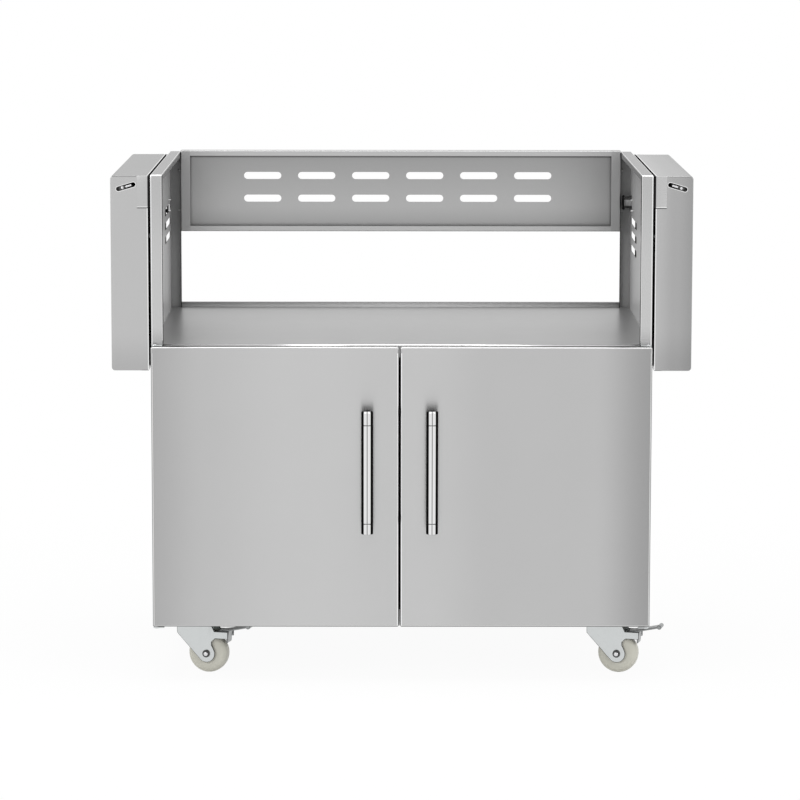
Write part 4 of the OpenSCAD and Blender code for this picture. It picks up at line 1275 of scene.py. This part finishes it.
@dataclass(frozen=True)
class Caster:
    """A swivel caster with a sheet fork, a nylon wheel and, in front, a brake pedal."""

    corner: str
    x: float
    y: float
    brake: bool
    yaw: float = -15.0
    trail: float = 25.0
    wheel_r: float = 37.5
    wheel_w: float = 30.0
    shoulder: float = 11.0
    hub_r: float = 12.0
    hub_out: float = 1.5
    hub_edge: float = 0.8
    hub_foot: float = 0.4
    dip: float = 0.1
    play: float = 0.05
    axle_r: float = 4.0
    fork_out: float = 20.0
    head_r: float = 4.2
    head_h: float = 5.0
    ring_in: float = 4.3
    ring_out: float = 7.0
    ring_h: float = 2.6
    ring_edge: float = 0.7
    ring_lip: float = 0.4
    nut_r: float = 7.5
    nut_h: float = 6.5
    dome_shares: tuple[Point, ...] = ((0.0, 1.0), (0.571, 0.96), (0.857, 0.84), (1.0, 0.64))

    def frame(self) -> Matrix:
        """Returns what takes the caster's own axes to the model's frame."""
        turn = Matrix.Rotation(math.radians(self.yaw), 4, "Z")
        return Matrix.Translation(at(self.x, self.y, 0.0)) @ turn

    def axle_frame(self) -> Matrix:
        """Returns what takes a lathe's axes to the axle, with its axis towards the rear."""
        spot = Matrix.Translation(at(self.trail, 0.0, self.wheel_r))
        return self.frame() @ spot @ Matrix.Rotation(-math.pi / 2, 4, "X")

    def wheel(self) -> None:
        """Makes the wheel on the lathe, with a round tread and a hub."""
        r, half, s = self.wheel_r, self.wheel_w / 2, self.shoulder
        bore, out = self.axle_r + self.play, half + self.hub_out
        upper = [(bore, out), (self.hub_r - self.hub_edge, out),
                 (self.hub_r, out - self.hub_edge),
                 (self.hub_r + self.hub_foot, half - self.dip),
                 *arc((r - s, half - s), s, 90, 0, steps=8)]
        lower = [(radius, -h) for radius, h in reversed(upper)]
        tread = lathe([*upper, *lower, upper[0]], self.axle_frame(), steps=96)
        turned(f"{self.corner}_tread_wheel", [tread], f"{self.corner}_roller",
               Finishes.NYLON, [f"{self.corner}_wheel"])

    def ring(self) -> None:
        """Makes the dark ring round the axle bolt's head, a piece that stands for painted shade.
        """
        base = -self.fork_out
        low, high = self.ring_in, self.ring_out
        start = (low, base - self.ring_h + self.ring_lip)
        profile = [start, (low + self.ring_edge, base - self.ring_h),
                   (high - self.ring_edge, base - self.ring_h),
                   (high, base - self.ring_h + self.ring_edge), (high, base), (low, base), start]
        turned(f"{self.corner}_axle_ring", [lathe(profile, self.axle_frame())],
               f"{self.corner}_swivel", Finishes.PLASTIC)

    def axle(self) -> None:
        """Makes the axle bolt with its domed head and its nut."""
        r, out = self.axle_r, self.fork_out
        dome = [(share * self.head_r, -out - rise * self.head_h)
                for share, rise in self.dome_shares]
        profile = [*dome, (self.head_r, -out), (r, -out), (r, out + self.nut_h),
                   (0.0, out + self.nut_h)]
        nut = bmesh.new()
        middle = Matrix.Translation(at(0.0, 0.0, out + self.nut_h / 2))
        bmesh.ops.create_cone(nut, cap_ends=True, segments=6, radius1=self.nut_r * MM,
                              radius2=self.nut_r * MM, depth=self.nut_h * MM,
                              matrix=self.axle_frame() @ middle)
        turned(f"{self.corner}_axle_bolt", [lathe(profile, self.axle_frame()), nut],
               f"{self.corner}_swivel", Finishes.SCREW, [f"{self.corner}_axle"])

    def build(self, frame: dict) -> None:
        """Makes all the caster's pieces."""
        self.wheel()
        self.ring()
        self.axle()
        # The forks' and pedals' softened edges and thin sides carry a dark outline of painted
        # shade; the caster plate is near black, painted shade under the cabinet
        edge = Finishes.ZINC_EDGE
        axle = self.axle_frame().to_3x3() @ Vector((0.0, 0.0, 1.0))
        carried(frame, f"{self.corner}_fork", f"{self.corner}_swivel", Finishes.FORK, 0.9, 3,
                edge, lambda n: abs(n.dot(axle)) < 0.5 and abs(n.z) < 0.9)
        carried(frame, f"{self.corner}_caster_plate", "cart", Finishes.RACE, 0.5)
        if self.brake:
            carried(frame, f"{self.corner}_brake", f"{self.corner}_pedal", Finishes.PEDAL,
                    0.7, 3, edge)


@dataclass(frozen=True)
class Bracket:
    """The shelf brackets at one end of the cart, which carry painted shade on the face they turn
    out.
    """

    end: str
    fades: tuple[Fade, ...]

    def build(self, frame: dict) -> None:
        """Makes the bracket on each side."""
        finish = Finishes.BRACKET.like(f"{self.end}_bracket_steel", fades=self.fades)
        for side in Side:
            carried(frame, f"{side.word}_{self.end}_bracket", "cart", finish, 0.6)


@dataclass(frozen=True)
class Batch:
    """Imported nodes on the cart's own body that share a finish and a softening."""

    nodes: tuple[str, ...]
    finish: Finish
    soften: float = 0.4

    def build(self, frame: dict) -> None:
        """Makes each of them."""
        for node in self.nodes:
            carried(frame, node, "cart", self.finish, self.soften)


# The cabinet's inner sheets, the brackets, hinges, screws, pins and catches
FRONT_SKIRT, REAR_SKIRT = Shelf(Side.LEFT).ends
SHELF_EDGE = Shelf(Side.RIGHT).inner_x
HARDWARE = (
    Batch(("cabinet_floor", "cabinet_back", "front_top_rail", "front_base_channel",
           "rear_base_channel"), Finishes.INNER),
    # Painted shade on the brackets' parts inside the shelves; the front ones also get a painted
    # highlight line and a shadow line under the tab, and a dark line at the shelf's edge
    Bracket("front", (Fade(Y, FRONT_SKIRT, FRONT_SKIRT + 1.5, 0.95),
                      Fade(Z, 876.2, 875.2, 0.6, 1.0), Fade(Z, 874.4, 873.8, 0.9),
                      Fade(X, SHELF_EDGE + 0.3, SHELF_EDGE - 0.3, 0.97, middle=0.0))),
    Bracket("rear", (Fade(Y, REAR_SKIRT, REAR_SKIRT - 1.5, 0.95),)),
    Batch(("caster_bolts", "left_hinge_plates", "right_hinge_plates"), Finishes.ZINC),
    Batch(("frame_screws",), Finishes.INNER, 0.3),
    Batch(("shelf_pins", "door_hinge_pins"), Finishes.SCREW),
    Batch(("left_magnetic_catch", "right_magnetic_catch"), Finishes.PLASTIC, 0.5),
)


# The floor, the lamps and the camera, in metres


@dataclass(frozen=True)
class Lamp:
    """A soft rectangular lamp at a spot, turned towards another."""

    name: str
    spot: Spot
    aim: Spot
    size: Point
    watts: float

    def build(self) -> None:
        """Adds the lamp."""
        light = bpy.data.lights.new(self.name, "AREA")
        light.shape = "RECTANGLE"
        light.size, light.size_y = self.size
        light.energy = self.watts
        holder = put(self.name, light)
        holder.location = self.spot
        holder.rotation_mode = "QUATERNION"
        away = Vector(self.aim) - Vector(self.spot)
        holder.rotation_quaternion = away.to_track_quat("-Z", "Y")


@dataclass(frozen=True)
class Studio:
    """The pale floor, the soft lamps, the white surround and the camera.

    The camera's turns are its pitch, roll and yaw in degrees. The floor glows by a share
    that differs under the cart and away from it, so that it keeps the cart's shadow.
    """

    spot: Spot = (-0.0243, -6.8543, 1.4464)
    turns: Spot = (82.013, -0.077, -0.176)
    lens: float = 163.57
    sensor: float = 36.0
    clip: Point = (0.5, 100.0)
    ambient: float = 0.6
    floor_half: float = 30.0
    floor_cells: int = 8
    floor_tones: Point = (0.9, 0.93)
    floor_mottle: float = 0.6
    glow_near: float = 0.94
    glow_away: float = 1.0
    away_from: float = 1.1
    away_soft: float = 0.5
    lamps: tuple[Lamp, ...] = (
        Lamp("overhead", (0.0, -0.4, 3.6), (0.0, 0.0, 0.4), (3.2, 2.2), 70.0),
        Lamp("left_front", (-3.0, -3.4, 2.4), (0.0, 0.0, 0.5), (1.6, 2.0), 45.0),
        Lamp("right_front", (3.2, -3.0, 2.2), (0.0, 0.0, 0.5), (1.6, 2.0), 25.0),
    )

    def world(self) -> None:
        """Makes the surround white for what the camera and reflections see."""
        world = bpy.data.worlds.new("surround")
        bpy.context.scene.world = world
        world.use_nodes = True
        bench = Bench(world.node_tree)
        strength = self.ambient + (1.0 - self.ambient) * self.seen(bench)
        back = bench.node("ShaderNodeBackground", None,
                          {"Color": shade(grey(1.0)), "Strength": strength})
        bench.node("ShaderNodeOutputWorld", None, {"Surface": back})

    @staticmethod
    def seen(bench: Bench) -> Wire:
        """Returns 1 for rays of the camera, of reflections and through glass, else 0."""
        camera = bench.node("ShaderNodeLightPath", out="Is Camera Ray")
        glossy = bench.node("ShaderNodeLightPath", out="Is Glossy Ray")
        through = bench.node("ShaderNodeLightPath", out="Is Transmission Ray")
        return camera.greatest(glossy).greatest(through)

    def floor(self) -> None:
        """Makes the floor, which looks white away from the cart's shadow."""
        mesh = bmesh.new()
        bmesh.ops.create_grid(mesh, x_segments=self.floor_cells, y_segments=self.floor_cells,
                              size=self.floor_half)
        data = bpy.data.meshes.new("studio_floor")
        mesh.to_mesh(data)
        mesh.free()
        data.materials.append(self.paint())
        put("studio_floor", data)

    def paint(self) -> bpy.types.Material:
        """Makes the floor's surface."""
        made = bpy.data.materials.new("pale_floor")
        made.use_nodes = True
        bench = Bench(made.node_tree)
        low, high = (shade(grey(tone)) for tone in self.floor_tones)
        colour = bench.blend(bench.noise(bench.place(), self.floor_mottle), low, high)
        matte = bench.node("ShaderNodeBsdfDiffuse", None, {"Color": colour})
        glow = bench.node("ShaderNodeEmission", None, {"Color": shade(grey(1.0)), "Strength": 1.0})
        away = bench.apart(X, 0.0).greatest(bench.apart(Y, 0.0))
        more = bench.step(away, self.away_from, self.away_soft) * (self.glow_away - self.glow_near)
        share = self.seen(bench) * (self.glow_near + more)
        mixed = bench.node("ShaderNodeMixShader", None, {0: share, 1: matte, 2: glow})
        bench.node("ShaderNodeOutputMaterial", None, {"Surface": mixed})
        return made

    def camera(self) -> None:
        """Makes the camera at the photograph's viewing angle."""
        data = bpy.data.cameras.new("camera")
        data.sensor_fit = "HORIZONTAL"
        data.sensor_width = self.sensor
        data.lens = self.lens
        data.clip_start, data.clip_end = self.clip
        holder = put("camera", data)
        holder.location = self.spot
        holder.rotation_mode = "XYZ"
        holder.rotation_euler = [math.radians(turn) for turn in self.turns]
        bpy.context.scene.camera = holder

    def build(self) -> None:
        """Makes the whole stage."""
        self.camera()
        self.world()
        self.floor()
        for lamp in self.lamps:
            lamp.build()
        bpy.context.scene.view_settings.view_transform = "Standard"


def main() -> None:
    """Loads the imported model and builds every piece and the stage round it."""
    logging.basicConfig(level=logging.INFO, format="%(name)s: %(message)s")
    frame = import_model()
    Studio().build()
    SidePanel(Side.LEFT, vent_drop=107.0).build()
    SidePanel(Side.RIGHT, vent_drop=133.0).build()
    RearVentPanel().build()
    DeckPan().build()
    for side in Side:
        Door(side).build(frame)
        Shelf(side).build(frame)
    GasLineGrommet().build()
    for end, y, brake in (("front", CART.caster_front, True), ("rear", CART.caster_rear, False)):
        for side in Side:
            Caster(f"{end}_{side.word}", side.value * CART.caster_x, y, brake).build(frame)
    for group in HARDWARE:
        group.build(frame)


if __name__ == "__main__":
    main()
